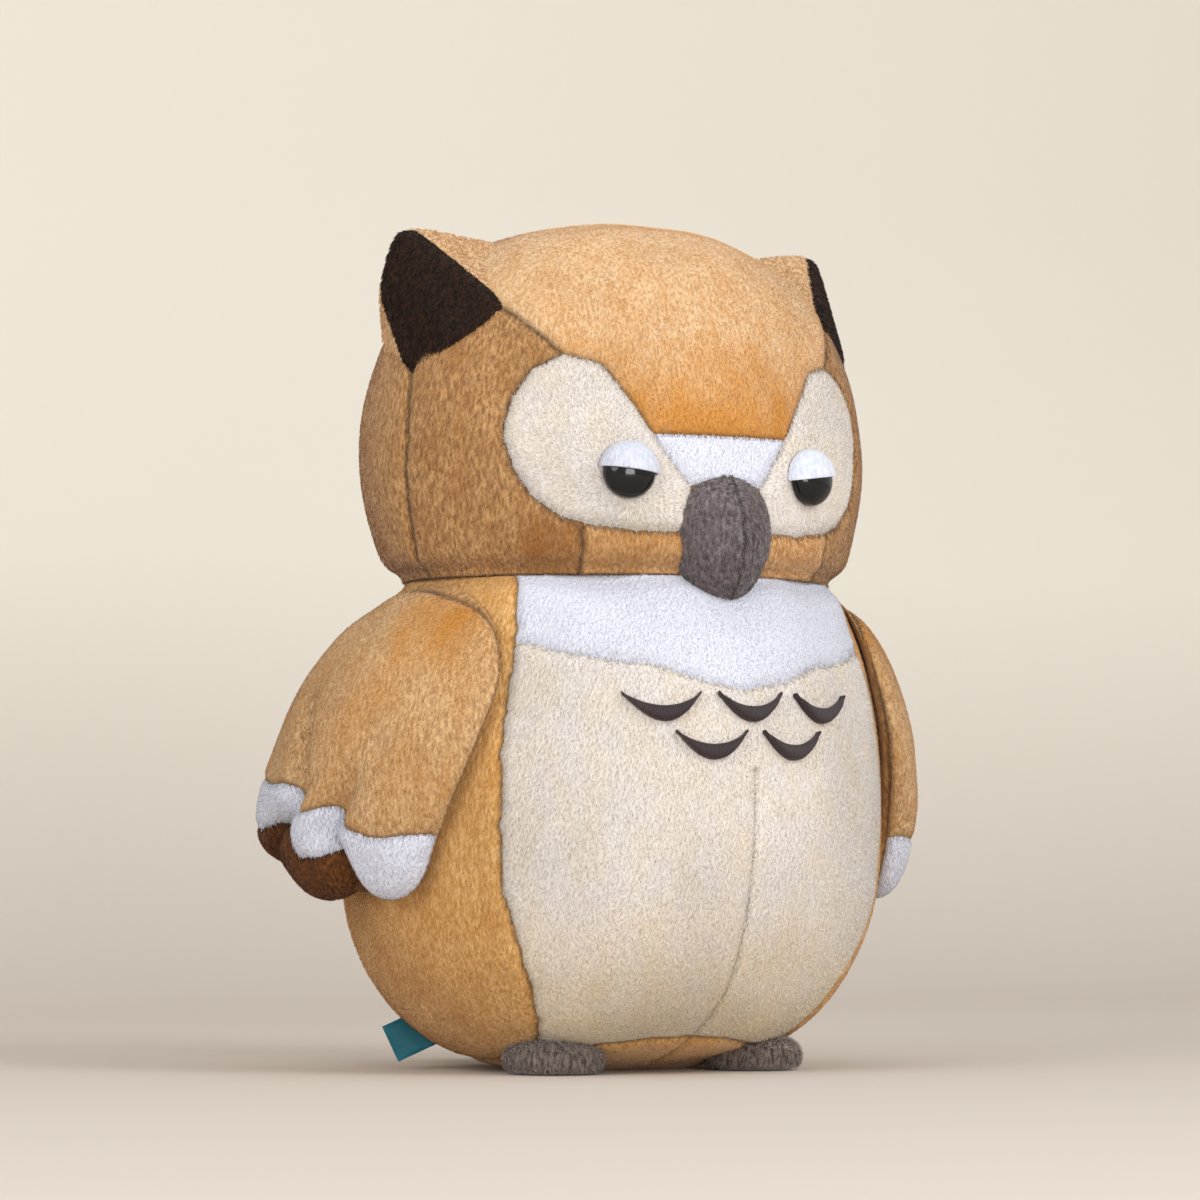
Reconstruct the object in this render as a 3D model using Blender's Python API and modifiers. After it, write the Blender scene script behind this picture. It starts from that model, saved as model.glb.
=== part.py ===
"""Plush owl, 350 mm tall: stuffed head and body under sewn plush panels, with hinged wings, tail and label.

Metres, +Z up. The owl faces -Y, stands on Z = 0, and its own right side is at -X. Paired pieces are made
on its right side and mirrored.
"""

import math

import bmesh
import bpy
from mathutils import Matrix, Vector
from mathutils.bvhtree import BVHTree

for old in list(bpy.data.objects):
    bpy.data.objects.remove(old, do_unlink=True)

# Driving sizes of the whole toy
total_height = 0.350
neck_height = 0.200
head_half_width = 0.108
head_front = 0.095
head_back = 0.086
body_half_width = 0.1105
body_front = 0.116
body_back = 0.117

# Cloth and clearances
plush_thickness = 0.0028
seam_gap = 0.0003
stuffing_gap = 0.0005
swing_gap = 0.0009

# How far a form runs on past the neck seam, and how deep it is cut flat where it stands
neck_overlap = 0.036
base_cut = 0.0005
# How far every cutter runs past what it cuts
overrun = 0.060
# Cutters for the front stop here, behind all the front's seams and off every corner of the forms
front_end = -0.023

head_height = total_height - neck_height
form_segments = 28

# Rows of shares, top pole first: height, half width, front depth, back depth
head_row_shares = [
    (1.00, 0.00, 0.00, 0.00),
    (0.99, 0.27, 0.28, 0.30),
    (0.945, 0.56, 0.58, 0.60),
    (0.85, 0.80, 0.82, 0.82),
    (0.70, 0.95, 0.96, 0.95),
    (0.54, 1.02, 1.02, 1.01),
    (0.38, 1.01, 1.04, 0.97),
    (0.24, 0.94, 1.04, 0.84),
    (0.10, 0.82, 0.93, 0.68),
    (0.02, 0.45, 0.55, 0.42),
    (0.00, 0.00, 0.00, 0.00),
]
body_row_shares = [
    (1.00, 0.00, 0.00, 0.00),
    (0.98, 0.50, 0.45, 0.38),
    (0.90, 0.80, 0.70, 0.52),
    (0.76, 0.93, 0.88, 0.74),
    (0.60, 1.00, 0.98, 0.88),
    (0.44, 1.02, 1.01, 1.00),
    (0.28, 1.00, 0.96, 1.05),
    (0.14, 0.88, 0.83, 0.94),
    (0.04, 0.68, 0.54, 0.74),
    (0.00, 0.38, 0.10, 0.50),
    (0.00, 0.00, 0.00, 0.00),
]

toy = bpy.data.collections.new("plush_owl")
cutters = bpy.data.collections.new("cutters")
bpy.context.scene.collection.children.link(toy)
bpy.context.scene.collection.children.link(cutters)


def finish(name, colour, roughness, metallic=0.0):
    made = bpy.data.materials.new(name)
    made.use_nodes = True
    surface = made.node_tree.nodes["Principled BSDF"]
    surface.inputs["Base Color"].default_value = (*colour, 1)
    surface.inputs["Roughness"].default_value = roughness
    surface.inputs["Metallic"].default_value = metallic
    made.diffuse_color = (*colour, 1)
    return made


crown_plush = finish("crown_plush", (0.62, 0.38, 0.17), 0.9)
side_plush = finish("side_plush", (0.42, 0.23, 0.09), 0.9)
cream_plush = finish("cream_plush", (0.78, 0.71, 0.60), 0.9)
white_plush = finish("white_plush", (0.86, 0.86, 0.90), 0.9)
beak_plush = finish("beak_plush", (0.15, 0.13, 0.13), 0.85)
foot_plush = finish("foot_plush", (0.07, 0.05, 0.05), 0.9)
dark_plush = finish("dark_plush", (0.03, 0.014, 0.007), 0.9)
tip_plush = finish("tip_plush", (0.09, 0.04, 0.015), 0.9)
thread = finish("dark_thread", (0.025, 0.014, 0.016), 0.5)
eye_plastic = finish("eye_plastic", (0.004, 0.004, 0.004), 0.08)
washer_plastic = finish("washer_plastic", (0.75, 0.75, 0.72), 0.4)
lid_felt = finish("lid_felt", (0.84, 0.84, 0.88), 0.95)
label_ribbon = finish("label_ribbon", (0.01, 0.20, 0.27), 0.6)
fibre_fill = finish("fibre_fill", (0.85, 0.85, 0.83), 1.0)


def placed(name, mesh, collection, material=None):
    """An object of this mesh. A cutter is hidden from renders and drawn as wire."""
    made = bpy.data.objects.new(name, mesh)
    collection.objects.link(made)
    if material:
        mesh.materials.clear()
        mesh.materials.append(material)
    if collection is cutters:
        made.hide_render = True
        made.display_type = "WIRE"
    return made


def evaluated_mesh(source):
    bpy.context.view_layer.update()
    return bpy.data.meshes.new_from_object(source.evaluated_get(bpy.context.evaluated_depsgraph_get()))


def settled(source):
    """The mesh of an object with its modifiers applied, and the object gone."""
    mesh = evaluated_mesh(source)
    bpy.data.objects.remove(source)
    return mesh


def mesh_from(name, shape):
    mesh = bpy.data.meshes.new(name)
    shape.to_mesh(mesh)
    shape.free()
    return mesh


def smoothed(cage_mesh, levels=1):
    holder = placed("cage", cage_mesh, cutters)
    modifier = holder.modifiers.new("Smooth", "SUBSURF")
    modifier.levels = modifier.render_levels = levels
    return settled(holder)


def stuffed_form(row_shares, segments, half_width, front, back, bottom, top):
    """A smooth closed form from rings of shares, scaled to meet its named sizes exactly."""
    cage = bmesh.new()
    rings = len(row_shares) - 1
    bmesh.ops.create_uvsphere(cage, u_segments=segments // 2, v_segments=rings, radius=1)
    for vert in cage.verts:
        ring = round(math.acos(max(-1, min(1, vert.co.z))) / math.pi * rings)
        height, wide, fore, aft = row_shares[ring]
        around = Vector((vert.co.x, vert.co.y)).normalized() if 0 < ring < rings else Vector((0, 0))
        vert.co = (around.x * wide, around.y * (fore if around.y < 0 else aft), height)
    form = smoothed(mesh_from("cage", cage))
    widest = max(v.co.x for v in form.vertices)
    foremost = -min(v.co.y for v in form.vertices)
    aftmost = max(v.co.y for v in form.vertices)
    lowest = min(v.co.z for v in form.vertices)
    highest = max(v.co.z for v in form.vertices)
    for v in form.vertices:
        depth = front / foremost if v.co.y < 0 else back / aftmost
        rise = (v.co.z - lowest) / (highest - lowest)
        v.co = (v.co.x * half_width / widest, v.co.y * depth, bottom + rise * (top - bottom))
    return form


def grown(form, distance):
    """A copy of a closed form with its surface moved out, or in where the distance is negative."""
    shape = bmesh.new()
    shape.from_mesh(form)
    shape.normal_update()
    moved = [v.co + v.normal * distance * v.calc_shell_factor() for v in shape.verts]
    for v, place in zip(shape.verts, moved):
        v.co = place
    return mesh_from("grown", shape)


def sliced(form, height, keep_above, closed):
    """A copy of a form cut level at a height, with the cut left open or closed."""
    shape = bmesh.new()
    shape.from_mesh(form)
    cut = bmesh.ops.bisect_plane(
        shape,
        geom=shape.verts[:] + shape.edges[:] + shape.faces[:],
        plane_co=(0, 0, height),
        plane_no=(0, 0, 1),
        clear_inner=keep_above,
        clear_outer=not keep_above,
    )
    if closed:
        rim = [part for part in cut["geom_cut"] if isinstance(part, bmesh.types.BMEdge)]
        bmesh.ops.contextual_create(shape, geom=rim)
        bmesh.ops.recalc_face_normals(shape, faces=shape.faces)
    return mesh_from("sliced", shape)


def cloth_over(name, form):
    """The cloth of a form as one shell, its outside on the form and its thickness inside."""
    holder = placed(name, form, cutters)
    wall = holder.modifiers.new("Cloth", "SOLIDIFY")
    wall.thickness = plush_thickness
    wall.offset = -1
    wall.use_even_offset = True
    return settled(holder)


def offset_outline(points, distance):
    """The outline moved out by a distance, its corners mitred."""
    area = sum(a.x * b.y - b.x * a.y for a, b in zip(points, points[1:] + points[:1]))
    side = math.copysign(distance, area)
    moved = []
    for before, here, after in zip(points[-1:] + points[:-1], points, points[1:] + points[:1]):
        into = (here - before).normalized()
        away = (after - here).normalized()
        first = Vector((into.y, -into.x))
        second = Vector((away.y, -away.x))
        middle = (first + second) / (1 + first.dot(second))
        moved.append(here + middle * side)
    return moved


def block(name, outline, axis, near, far, growth=0.0):
    """A cutter: an outline extruded along an axis, from near to far, and grown sideways where asked."""
    points = [Vector(point) for point in outline]
    if growth:
        points = offset_outline(points, growth)
    place = {
        "X": lambda p, depth: (depth, p.x, p.y),
        "Y": lambda p, depth: (p.x, depth, p.y),
        "Z": lambda p, depth: (p.x, p.y, depth),
    }[axis]
    shape = bmesh.new()
    corners = [shape.verts.new(place(p, near)) for p in points]
    rim = [shape.edges.new(ends) for ends in zip(corners, corners[1:] + corners[:1])]
    face = bmesh.ops.contextual_create(shape, geom=rim)
    pushed = bmesh.ops.extrude_face_region(shape, geom=face["faces"])
    top = [part for part in pushed["geom"] if isinstance(part, bmesh.types.BMVert)]
    bmesh.ops.translate(shape, verts=top, vec=Vector(place(Vector((0, 0)), far - near)))
    bmesh.ops.recalc_face_normals(shape, faces=shape.faces)
    return placed(name, mesh_from(name, shape), cutters)


def together(name, sources):
    """One cutter that holds the meshes of several that stand apart. They stay as they are."""
    shape = bmesh.new()
    for source in sources:
        shape.from_mesh(source.data)
    return placed(name, mesh_from(name, shape), cutters)


def cut(piece, cutter, operation="DIFFERENCE"):
    step = piece.modifiers.new(cutter.name, "BOOLEAN")
    step.operation = operation
    step.solver = "EXACT"
    step.object = cutter


def panel(name, cloth, material, inside, outside):
    """A piece of the cloth, kept inside some blocks and outside others."""
    made = placed(name, cloth.copy(), toy, material)
    for cutter in inside:
        cut(made, cutter, "INTERSECT")
    for cutter in outside:
        cut(made, cutter)
    return made


def mirrored(source, name, collection=toy):
    """The twin of a finished piece or cutter on the owl's left side."""
    shape = bmesh.new()
    shape.from_mesh(evaluated_mesh(source))
    bmesh.ops.transform(shape, matrix=source.matrix_world, verts=shape.verts)
    bmesh.ops.scale(shape, vec=(-1, 1, 1), verts=shape.verts)
    bmesh.ops.reverse_faces(shape, faces=shape.faces)
    return placed(name, mesh_from(name, shape), collection, source.active_material)


def soften(piece):
    piece.data.shade_smooth()
    piece.data.set_sharp_from_angle(angle=math.radians(40))


# Forms of the head and body, their cloth and their stuffing

head_form = stuffed_form(
    head_row_shares, form_segments, head_half_width, head_front, head_back,
    neck_height - neck_overlap, total_height,
)
body_form = stuffed_form(
    body_row_shares, form_segments, body_half_width, body_front, body_back,
    -base_cut, neck_height + neck_overlap,
)
head_seat = neck_height + seam_gap / 2
body_seat = neck_height - seam_gap / 2

head_cloth = cloth_over("head_cloth", sliced(head_form, head_seat, True, False))
body_cloth = cloth_over("body_cloth", sliced(sliced(body_form, 0, True, True), body_seat, False, False))

stuffing_depth = plush_thickness + stuffing_gap
head_stuffing = placed(
    "head_stuffing", sliced(grown(head_form, -stuffing_depth), head_seat, True, True), toy, fibre_fill
)
body_stuffing = placed(
    "body_stuffing",
    sliced(sliced(grown(body_form, -stuffing_depth), stuffing_depth, True, True), body_seat, False, True),
    toy, fibre_fill,
)

# What lies on the head or body is cut to these, so that it keeps a seam gap to the cloth
head_clear = placed("head_clear", grown(head_form, seam_gap), cutters)
body_clear = placed("body_clear", grown(body_form, seam_gap), cutters)
# What swings on the body keeps further off it
swing_clear = placed("swing_clear", grown(body_form, swing_gap), cutters)


# Seams of the head, seen from the front as shares of its half width and of its height above the neck

def on_head(shares):
    return [(x * head_half_width, neck_height + z * head_height) for x, z in shares]


def flipped(outline):
    return [(-u, v) for u, v in reversed(outline)]


eye_patch_shares = [
    (-0.157, 0.237), (-0.290, 0.370), (-0.361, 0.453), (-0.463, 0.563), (-0.574, 0.587),
    (-0.676, 0.545), (-0.741, 0.473), (-0.773, 0.380), (-0.750, 0.287), (-0.694, 0.207),
    (-0.600, 0.147), (-0.500, 0.127), (-0.350, 0.113), (-0.157, 0.113),
]
bridge_shares = [(-0.157, 0.237), (0.157, 0.237), (0.290, 0.370), (-0.290, 0.370)]
# The chin and crown run on under the patches and the bridge, which are cut out of them
chin_shares = [
    (-0.505, -0.200), (0.505, -0.200), (0.530, 0.140), (0.200, 0.140), (0.200, 0.260),
    (-0.200, 0.260), (-0.200, 0.140), (-0.530, 0.140),
]
crown_shares = [
    (-0.300, 0.300), (0.300, 0.300), (0.550, 0.560), (0.722, 0.740),
    (1.100, 1.130), (-1.100, 1.130), (-0.722, 0.740), (-0.550, 0.560),
]
# The seam from the ear down the side of the head, seen from the side: shares of depth and of height
side_seam_shares = [(-0.09, -0.15), (-0.17, 0.20), (-0.20, 0.37), (-0.15, 0.58), (-0.03, 0.85), (0.0, 1.2)]


def front_block(name, outline, growth=0.0):
    return block(name, outline, "Y", -head_front - overrun, front_end, growth)


eye_patch_outline = on_head(eye_patch_shares)
head_regions = {
    "eye_patch_right": eye_patch_outline,
    "eye_patch_left": flipped(eye_patch_outline),
    "brow_bridge": on_head(bridge_shares),
    "chin_panel": on_head(chin_shares),
}
region_of = {name: front_block(name + "_region", outline) for name, outline in head_regions.items()}
around = {name: front_block(name + "_around", outline, seam_gap) for name, outline in head_regions.items()}

side_seam = [(y * head_front, neck_height + z * head_height) for y, z in side_seam_shares]
head_back_outline = side_seam + [(head_back + overrun, side_seam[-1][1]), (head_back + overrun, side_seam[0][1])]
reach = head_half_width + overrun
head_back_region = block("head_back_region", head_back_outline, "X", -reach, reach)
head_back_around = block("head_back_around", head_back_outline, "X", -reach, reach, seam_gap)
crown_outline = on_head(crown_shares)
crown_region = block("crown_region", crown_outline, "Y", -head_front - overrun, head_back + overrun)
crown_around = block("crown_around", crown_outline, "Y", -head_front - overrun, head_back + overrun, seam_gap)


def half_space(name, side, inner_edge):
    """A block over one side of the toy, from an edge beside its middle."""
    inner = side * inner_edge
    outer = side * (body_half_width + overrun)
    low, high = -overrun, total_height + overrun
    depth = body_front + overrun
    return block(name, [(inner, low), (outer, low), (outer, high), (inner, high)], "Y", -depth, depth)


right_half = half_space("right_half", -1, seam_gap / 2)
left_half = half_space("left_half", 1, seam_gap / 2)
# The side pieces lie wholly out beyond this edge
side_edge = 0.021
right_side = half_space("right_side", -1, side_edge)
left_side = half_space("left_side", 1, side_edge)

# Head panels

panel("eye_patch_right", head_cloth, cream_plush, [region_of["eye_patch_right"]], [])
panel("eye_patch_left", head_cloth, cream_plush, [region_of["eye_patch_left"]], [])
patches_around = together("patches_around", [around["eye_patch_right"], around["eye_patch_left"]])
face_around = [patches_around, around["brow_bridge"]]
panel("brow_bridge", head_cloth, white_plush, [region_of["brow_bridge"]], [patches_around])
panel("chin_panel", head_cloth, side_plush, [region_of["chin_panel"]], face_around)
panel("crown_panel", head_cloth, crown_plush, [crown_region], face_around + [head_back_around])
panel("head_back_right", head_cloth, side_plush, [head_back_region, right_half], [])
panel("head_back_left", head_cloth, side_plush, [head_back_region, left_half], [])
panel(
    "cheek_right", head_cloth, side_plush, [right_side],
    [around["eye_patch_right"], around["brow_bridge"], around["chin_panel"], crown_around, head_back_around],
)
panel(
    "cheek_left", head_cloth, side_plush, [left_side],
    [around["eye_patch_left"], around["brow_bridge"], around["chin_panel"], crown_around, head_back_around],
)

# Seams of the body: shares of its half width and of the neck height, its front panels' edge from the top down

def on_body(shares):
    return [(x * body_half_width, z * neck_height) for x, z in shares]


front_edge_shares = [
    (0.640, 1.100), (0.670, 0.980), (0.725, 0.870), (0.773, 0.750), (0.800, 0.640), (0.806, 0.500),
    (0.784, 0.360), (0.708, 0.240), (0.606, 0.135), (0.490, 0.050), (0.430, -0.100),
]
bib_edge_shares = [
    (-0.905, 0.880), (-0.724, 0.865), (-0.615, 0.845), (-0.500, 0.830), (-0.350, 0.820), (-0.180, 0.788),
    (0.0, 0.768), (0.180, 0.788), (0.350, 0.820), (0.500, 0.830), (0.615, 0.845), (0.724, 0.865), (0.905, 0.880),
]
back_seam_shares = [(0.28, 1.05), (0.42, 0.82), (0.50, 0.55), (0.48, 0.30), (0.36, 0.10), (0.30, -0.10)]
base_half_width_share = 0.516
base_front_share = 0.569
base_back_share = 0.615
base_corners = 20
# The dart that rounds the belly: its top as a share of the neck height
dart_top_share = 0.61

front_edge = on_body(front_edge_shares)
front_outline = front_edge + flipped(front_edge)
bib_edge = on_body(bib_edge_shares)
above_neck = neck_height + overrun
bib_outline = bib_edge + [(bib_edge[-1][0], above_neck), (bib_edge[0][0], above_neck)]
back_seam = [(y * body_back, z * neck_height) for y, z in back_seam_shares]
back_outline = back_seam + [(body_back + overrun, back_seam[-1][1]), (body_back + overrun, back_seam[0][1])]


base_half_width = base_half_width_share * body_half_width
base_front = base_front_share * body_front
base_back = base_back_share * body_back


def base_corner(step):
    angle = math.tau * step / base_corners
    depth = base_front if math.cos(angle) > 0 else base_back
    return (base_half_width * math.sin(angle), -depth * math.cos(angle))


base_outline = [base_corner(step) for step in range(base_corners)]
base_reach = base_front / 2

front_region = block("front_region", front_outline, "Y", -body_front - overrun, front_end)
front_around = block("front_around", front_outline, "Y", -body_front - overrun, front_end, seam_gap)
bib_region = block("bib_region", bib_outline, "Y", -body_front - overrun, front_end)
bib_around = block("bib_around", bib_outline, "Y", -body_front - overrun, front_end, seam_gap)
body_reach = body_half_width + overrun
back_region = block("back_region", back_outline, "X", -body_reach, body_reach)
back_around = block("back_around", back_outline, "X", -body_reach, body_reach, seam_gap)
base_region = block("base_region", base_outline, "Z", -overrun, base_reach)
base_around = block("base_around", base_outline, "Z", -overrun, base_reach, seam_gap)
dart_half = seam_gap / 2
dart_top = dart_top_share * neck_height
dart = block(
    "dart", [(-dart_half, -overrun), (dart_half, -overrun), (dart_half, dart_top), (-dart_half, dart_top)],
    "Y", -body_front - overrun, front_end,
)

# Body panels

panel("base_panel", body_cloth, side_plush, [base_region], [])
panel("bib", body_cloth, white_plush, [front_region, bib_region], [])
panel("belly_panel", body_cloth, cream_plush, [front_region], [bib_around, base_around, dart])
panel("back_panel", body_cloth, side_plush, [back_region], [base_around])
panel("side_panel_right", body_cloth, side_plush, [right_side], [front_around, back_around, base_around])
panel("side_panel_left", body_cloth, side_plush, [left_side], [front_around, back_around, base_around])

# What stands on the cloth is seated on a facet of it, found by looking in from outside

head_surface = BVHTree.FromPolygons([v.co for v in head_form.vertices], [f.vertices for f in head_form.polygons])
body_surface = BVHTree.FromPolygons([v.co for v in body_form.vertices], [f.vertices for f in body_form.polygons])


def seat_on(surface, start, direction):
    """The point and outward normal where a line from outside meets a surface."""
    point, normal, _, _ = surface.ray_cast(Vector(start), Vector(direction))
    return point, normal


def standing(point, normal):
    """A matrix at the point whose local +Z is the normal and whose local +X stays level."""
    level = Vector((0, 0, 1)).cross(normal).normalized()
    upright = normal.cross(level)
    return Matrix.Translation(point) @ Matrix((level, upright, normal)).transposed().to_4x4()


def turned(name, profile, steps, collection, material=None, ring=False):
    """A solid of revolution about local Z, from a profile that runs down its outer side. A ring's is closed."""
    shape = bmesh.new()
    points = [shape.verts.new((radius, 0, height)) for radius, height in profile]
    for upper, lower in zip(points, points[1:] + points[:1] * ring):
        shape.edges.new((upper, lower))
    made = placed(name, mesh_from(name, shape), collection, material)
    spin = made.modifiers.new("Turn", "SCREW")
    spin.steps = spin.render_steps = steps
    spin.use_merge_vertices = True
    spin.merge_threshold = axis_merge
    return made


def disc(name, radius, low, high, steps, collection, material=None):
    return turned(name, [(0, high), (radius, high), (radius, low), (0, low)], steps, collection, material)


# Eyes: a domed plastic eye on a stem through the cloth, a lock washer behind it, and a felt lid over its top half

eye_spacing_share = 0.389
eye_rise_share = 0.267
eye_radius = 0.0108
eye_dome = 0.0065
eye_rim = 0.0010
stem_radius = 0.0024
stem_length = 0.0130
stem_tip = 0.0030
washer_radius = 0.0085
washer_thickness = 0.0015
# The washer lies this much under the cloth, clear of the cloth's curve
washer_seat = 0.0013
running_fit = 0.0003
lid_thickness = 0.0012
lid_overlap = 0.0010
# The lid's lower edge falls towards the beak by this angle
lid_slope = math.radians(8)
lid_drop = 0.0004
round_steps = 16
dome_steps = 4
# Points of a turned solid that lie this near on its axis are one
axis_merge = 0.00001

eye_start = (-eye_spacing_share * head_half_width, -head_front - overrun, neck_height + eye_rise_share * head_height)
eye_place, eye_normal = seat_on(head_surface, eye_start, (0, 1, 0))
eye_frame = standing(eye_place, eye_normal)
eye_seat = eye_frame @ Matrix.Translation((0, 0, seam_gap))


def dome_profile(radius, height, rise=0.0):
    """From the apex down to the rim, as a quarter ellipse."""
    turns = [math.pi / 2 * step / dome_steps for step in range(dome_steps + 1)]
    return [(radius * math.sin(turn), rise + height * math.cos(turn)) for turn in turns]


eye = turned(
    "eye_right",
    dome_profile(eye_radius, eye_dome, eye_rim)
    + [(eye_radius, 0), (stem_radius, 0), (stem_radius, -stem_length), (0, -stem_length)],
    round_steps, toy, eye_plastic,
)
eye.matrix_world = eye_seat
stem_hole = disc("stem_hole", stem_radius + running_fit, -stem_length, overrun, round_steps, cutters)
stem_hole.matrix_world = eye_frame
washer_top = -plush_thickness - washer_seat
washer_bottom = washer_top - washer_thickness
washer = turned(
    "eye_washer_right",
    [(stem_radius + running_fit, washer_top), (washer_radius, washer_top),
     (washer_radius, washer_bottom), (stem_radius + running_fit, washer_bottom)],
    round_steps, toy, washer_plastic, ring=True,
)
washer.matrix_world = eye_frame
washer_pocket = disc(
    "washer_pocket", washer_radius + running_fit, -stem_length - seam_gap, overrun, round_steps, cutters
)
washer_pocket.matrix_world = eye_frame

lid_inner = eye_radius + seam_gap
lid_outer = lid_inner + lid_thickness
lid_height = eye_dome + seam_gap
lid_profile = dome_profile(lid_outer, lid_height + lid_thickness, eye_rim)
lid_profile += [(lid_outer, 0), (lid_inner, 0)] + dome_profile(lid_inner, lid_height, eye_rim)[::-1]
lid = turned("lid_right", lid_profile, round_steps, toy, lid_felt)
lid.matrix_world = eye_seat
lid_reach = eye_radius + overrun / 3
lid_cut = block(
    "lid_cut",
    [(-lid_reach, -lid_drop), (lid_reach, -lid_drop), (lid_reach, lid_reach), (-lid_reach, lid_reach)],
    "Z", -lid_reach, lid_reach,
)
lid_cut.matrix_world = eye_seat @ Matrix.Rotation(-lid_slope, 4, "Z")
cut(lid, lid_cut, "INTERSECT")


for side, hole, pocket in (
    ("right", stem_hole, washer_pocket),
    ("left", mirrored(stem_hole, "stem_hole_left", cutters), mirrored(washer_pocket, "washer_pocket_left", cutters)),
):
    cut(bpy.data.objects["eye_patch_" + side], hole)
    cut(head_stuffing, pocket)

# Beak: a small stuffed egg with its tip down, on the middle of the face and over the top of the bib

beak_width = 0.043
beak_rise = 0.0415
beak_drop = 0.0105
# How far behind the foremost part of the face the beak's middle lies
beak_sink = 0.0085
beak_front = 0.0200
beak_segments = 16
beak_row_shares = [
    (1.00, 0.00, 0.00, 0.00),
    (0.98, 0.50, 0.35, 0.80),
    (0.82, 0.88, 0.78, 1.00),
    (0.58, 1.05, 1.05, 1.00),
    (0.32, 0.92, 1.02, 0.95),
    (0.10, 0.62, 0.72, 0.62),
    (0.01, 0.30, 0.34, 0.30),
    (0.00, 0.00, 0.00, 0.00),
]
beak_form = stuffed_form(
    beak_row_shares, beak_segments, beak_width / 2, beak_front, beak_front,
    neck_height - beak_drop, neck_height + beak_rise,
)
for v in beak_form.vertices:
    v.co.y -= head_front - beak_sink
beak = placed("beak", beak_form, toy, beak_plush)
cut(beak, head_clear)
cut(beak, body_clear)

# Feet: low stuffed pads under the front of the body, flat on the table

foot_half_width = 0.0195
foot_half_length = 0.0205
foot_height = 0.0165
foot_place_share = 0.425
foot_forward_share = 0.31
foot_segments = 20
foot_row_shares = [
    (1.00, 0.00, 0.00, 0.00),
    (0.99, 0.66, 0.66, 0.66),
    (0.74, 1.00, 1.00, 1.00),
    (0.30, 1.03, 1.03, 1.03),
    (0.01, 0.84, 0.84, 0.84),
    (0.00, 0.00, 0.00, 0.00),
]
foot_form = stuffed_form(
    foot_row_shares, foot_segments, foot_half_width, foot_half_length, foot_half_length,
    -base_cut, foot_height,
)
foot = placed("foot_right", sliced(foot_form, 0, True, True), toy, foot_plush)
foot.location = (-foot_place_share * body_half_width, -foot_forward_share * body_front, 0)
cut(foot, body_clear)

# Ears: a stuffed plush corner on the head with a dark front, cut from one pointed form

# Corners as shares of the head's half width, front depth and height: its tip, the front's inner and lower corner,
# then the rest. All but the tip and the two after the front's corners lie inside the head
ear_tip_shares = (-0.925, 0.01, 0.975)
ear_corner_shares = [
    (-0.694, -0.521, 0.707), (-0.938, -0.182, 0.527), (-0.985, 0.02, 0.79), (-0.955, 0.11, 0.79),
    (-0.450, -0.100, 0.920), (-0.907, 0.168, 0.600), (-0.556, 0.190, 0.787),
]
ear_softness = 0.0028
ear_front_thickness = 0.0028


def head_point(shares):
    x, y, z = shares
    return Vector((x * head_half_width, y * head_front, neck_height + z * head_height))


ear_shape = bmesh.new()
ear_corners = [ear_shape.verts.new(head_point(shares)) for shares in [ear_tip_shares] + ear_corner_shares]
bmesh.ops.convex_hull(ear_shape, input=ear_corners)
bmesh.ops.dissolve_limit(
    ear_shape, angle_limit=math.radians(1), verts=ear_shape.verts[:], edges=ear_shape.edges[:]
)
bmesh.ops.bevel(
    ear_shape, geom=ear_shape.edges[:], offset=ear_softness, offset_type="OFFSET", segments=2,
    profile=0.5, affect="EDGES", material=-1, clamp_overlap=True,
)
bmesh.ops.recalc_face_normals(ear_shape, faces=ear_shape.faces)
ear_mesh = mesh_from("ear", ear_shape)
ear_tip = head_point(ear_tip_shares)
ear_inner = head_point(ear_corner_shares[0])
ear_lower = head_point(ear_corner_shares[1])
ear_facing = (ear_inner - ear_tip).cross(ear_lower - ear_tip).normalized()
if ear_facing.y > 0:
    ear_facing = -ear_facing
ear_half = overrun


def ear_slab(name, depth):
    """A block that covers all that lies more than a depth behind the ear's front."""
    slab = block(
        name, [(-ear_half, -ear_half), (ear_half, -ear_half), (ear_half, ear_half), (-ear_half, ear_half)],
        "Z", -2 * ear_half, -depth,
    )
    slab.matrix_world = standing(ear_tip, ear_facing)
    return slab


ear = placed("ear_right", ear_mesh.copy(), toy, crown_plush)
cut(ear, ear_slab("ear_behind", ear_front_thickness + seam_gap), "INTERSECT")
cut(ear, head_clear)
ear_front = placed("ear_front_right", ear_mesh.copy(), toy, dark_plush)
cut(ear_front, ear_slab("ear_front_back", ear_front_thickness))
cut(ear_front, head_clear)

# Embroidered crescents on the belly, in two rows: each follows the cloth under it

crescent_length = 0.0285
crescent_depth = 0.0105
crescent_width = 0.0048
crescent_rise = 0.0010
crescent_steps = 5
upper_row_share = 0.758
lower_row_share = 0.683
upper_spread_share = 0.330
lower_spread_share = 0.167


def crescent_outline(x, z):
    """Horns up: a shallow arc below and a flatter one above, meeting in points."""
    steps = range(-crescent_steps, crescent_steps + 1)
    lower = [(x + crescent_length / 2 * k / crescent_steps,
              z - crescent_depth * (1 - (k / crescent_steps) ** 2)) for k in steps]
    upper = [(x + crescent_length / 2 * k / crescent_steps,
              z - (crescent_depth - crescent_width) * (1 - (k / crescent_steps) ** 2)) for k in steps]
    return lower + upper[-2:0:-1]


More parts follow.
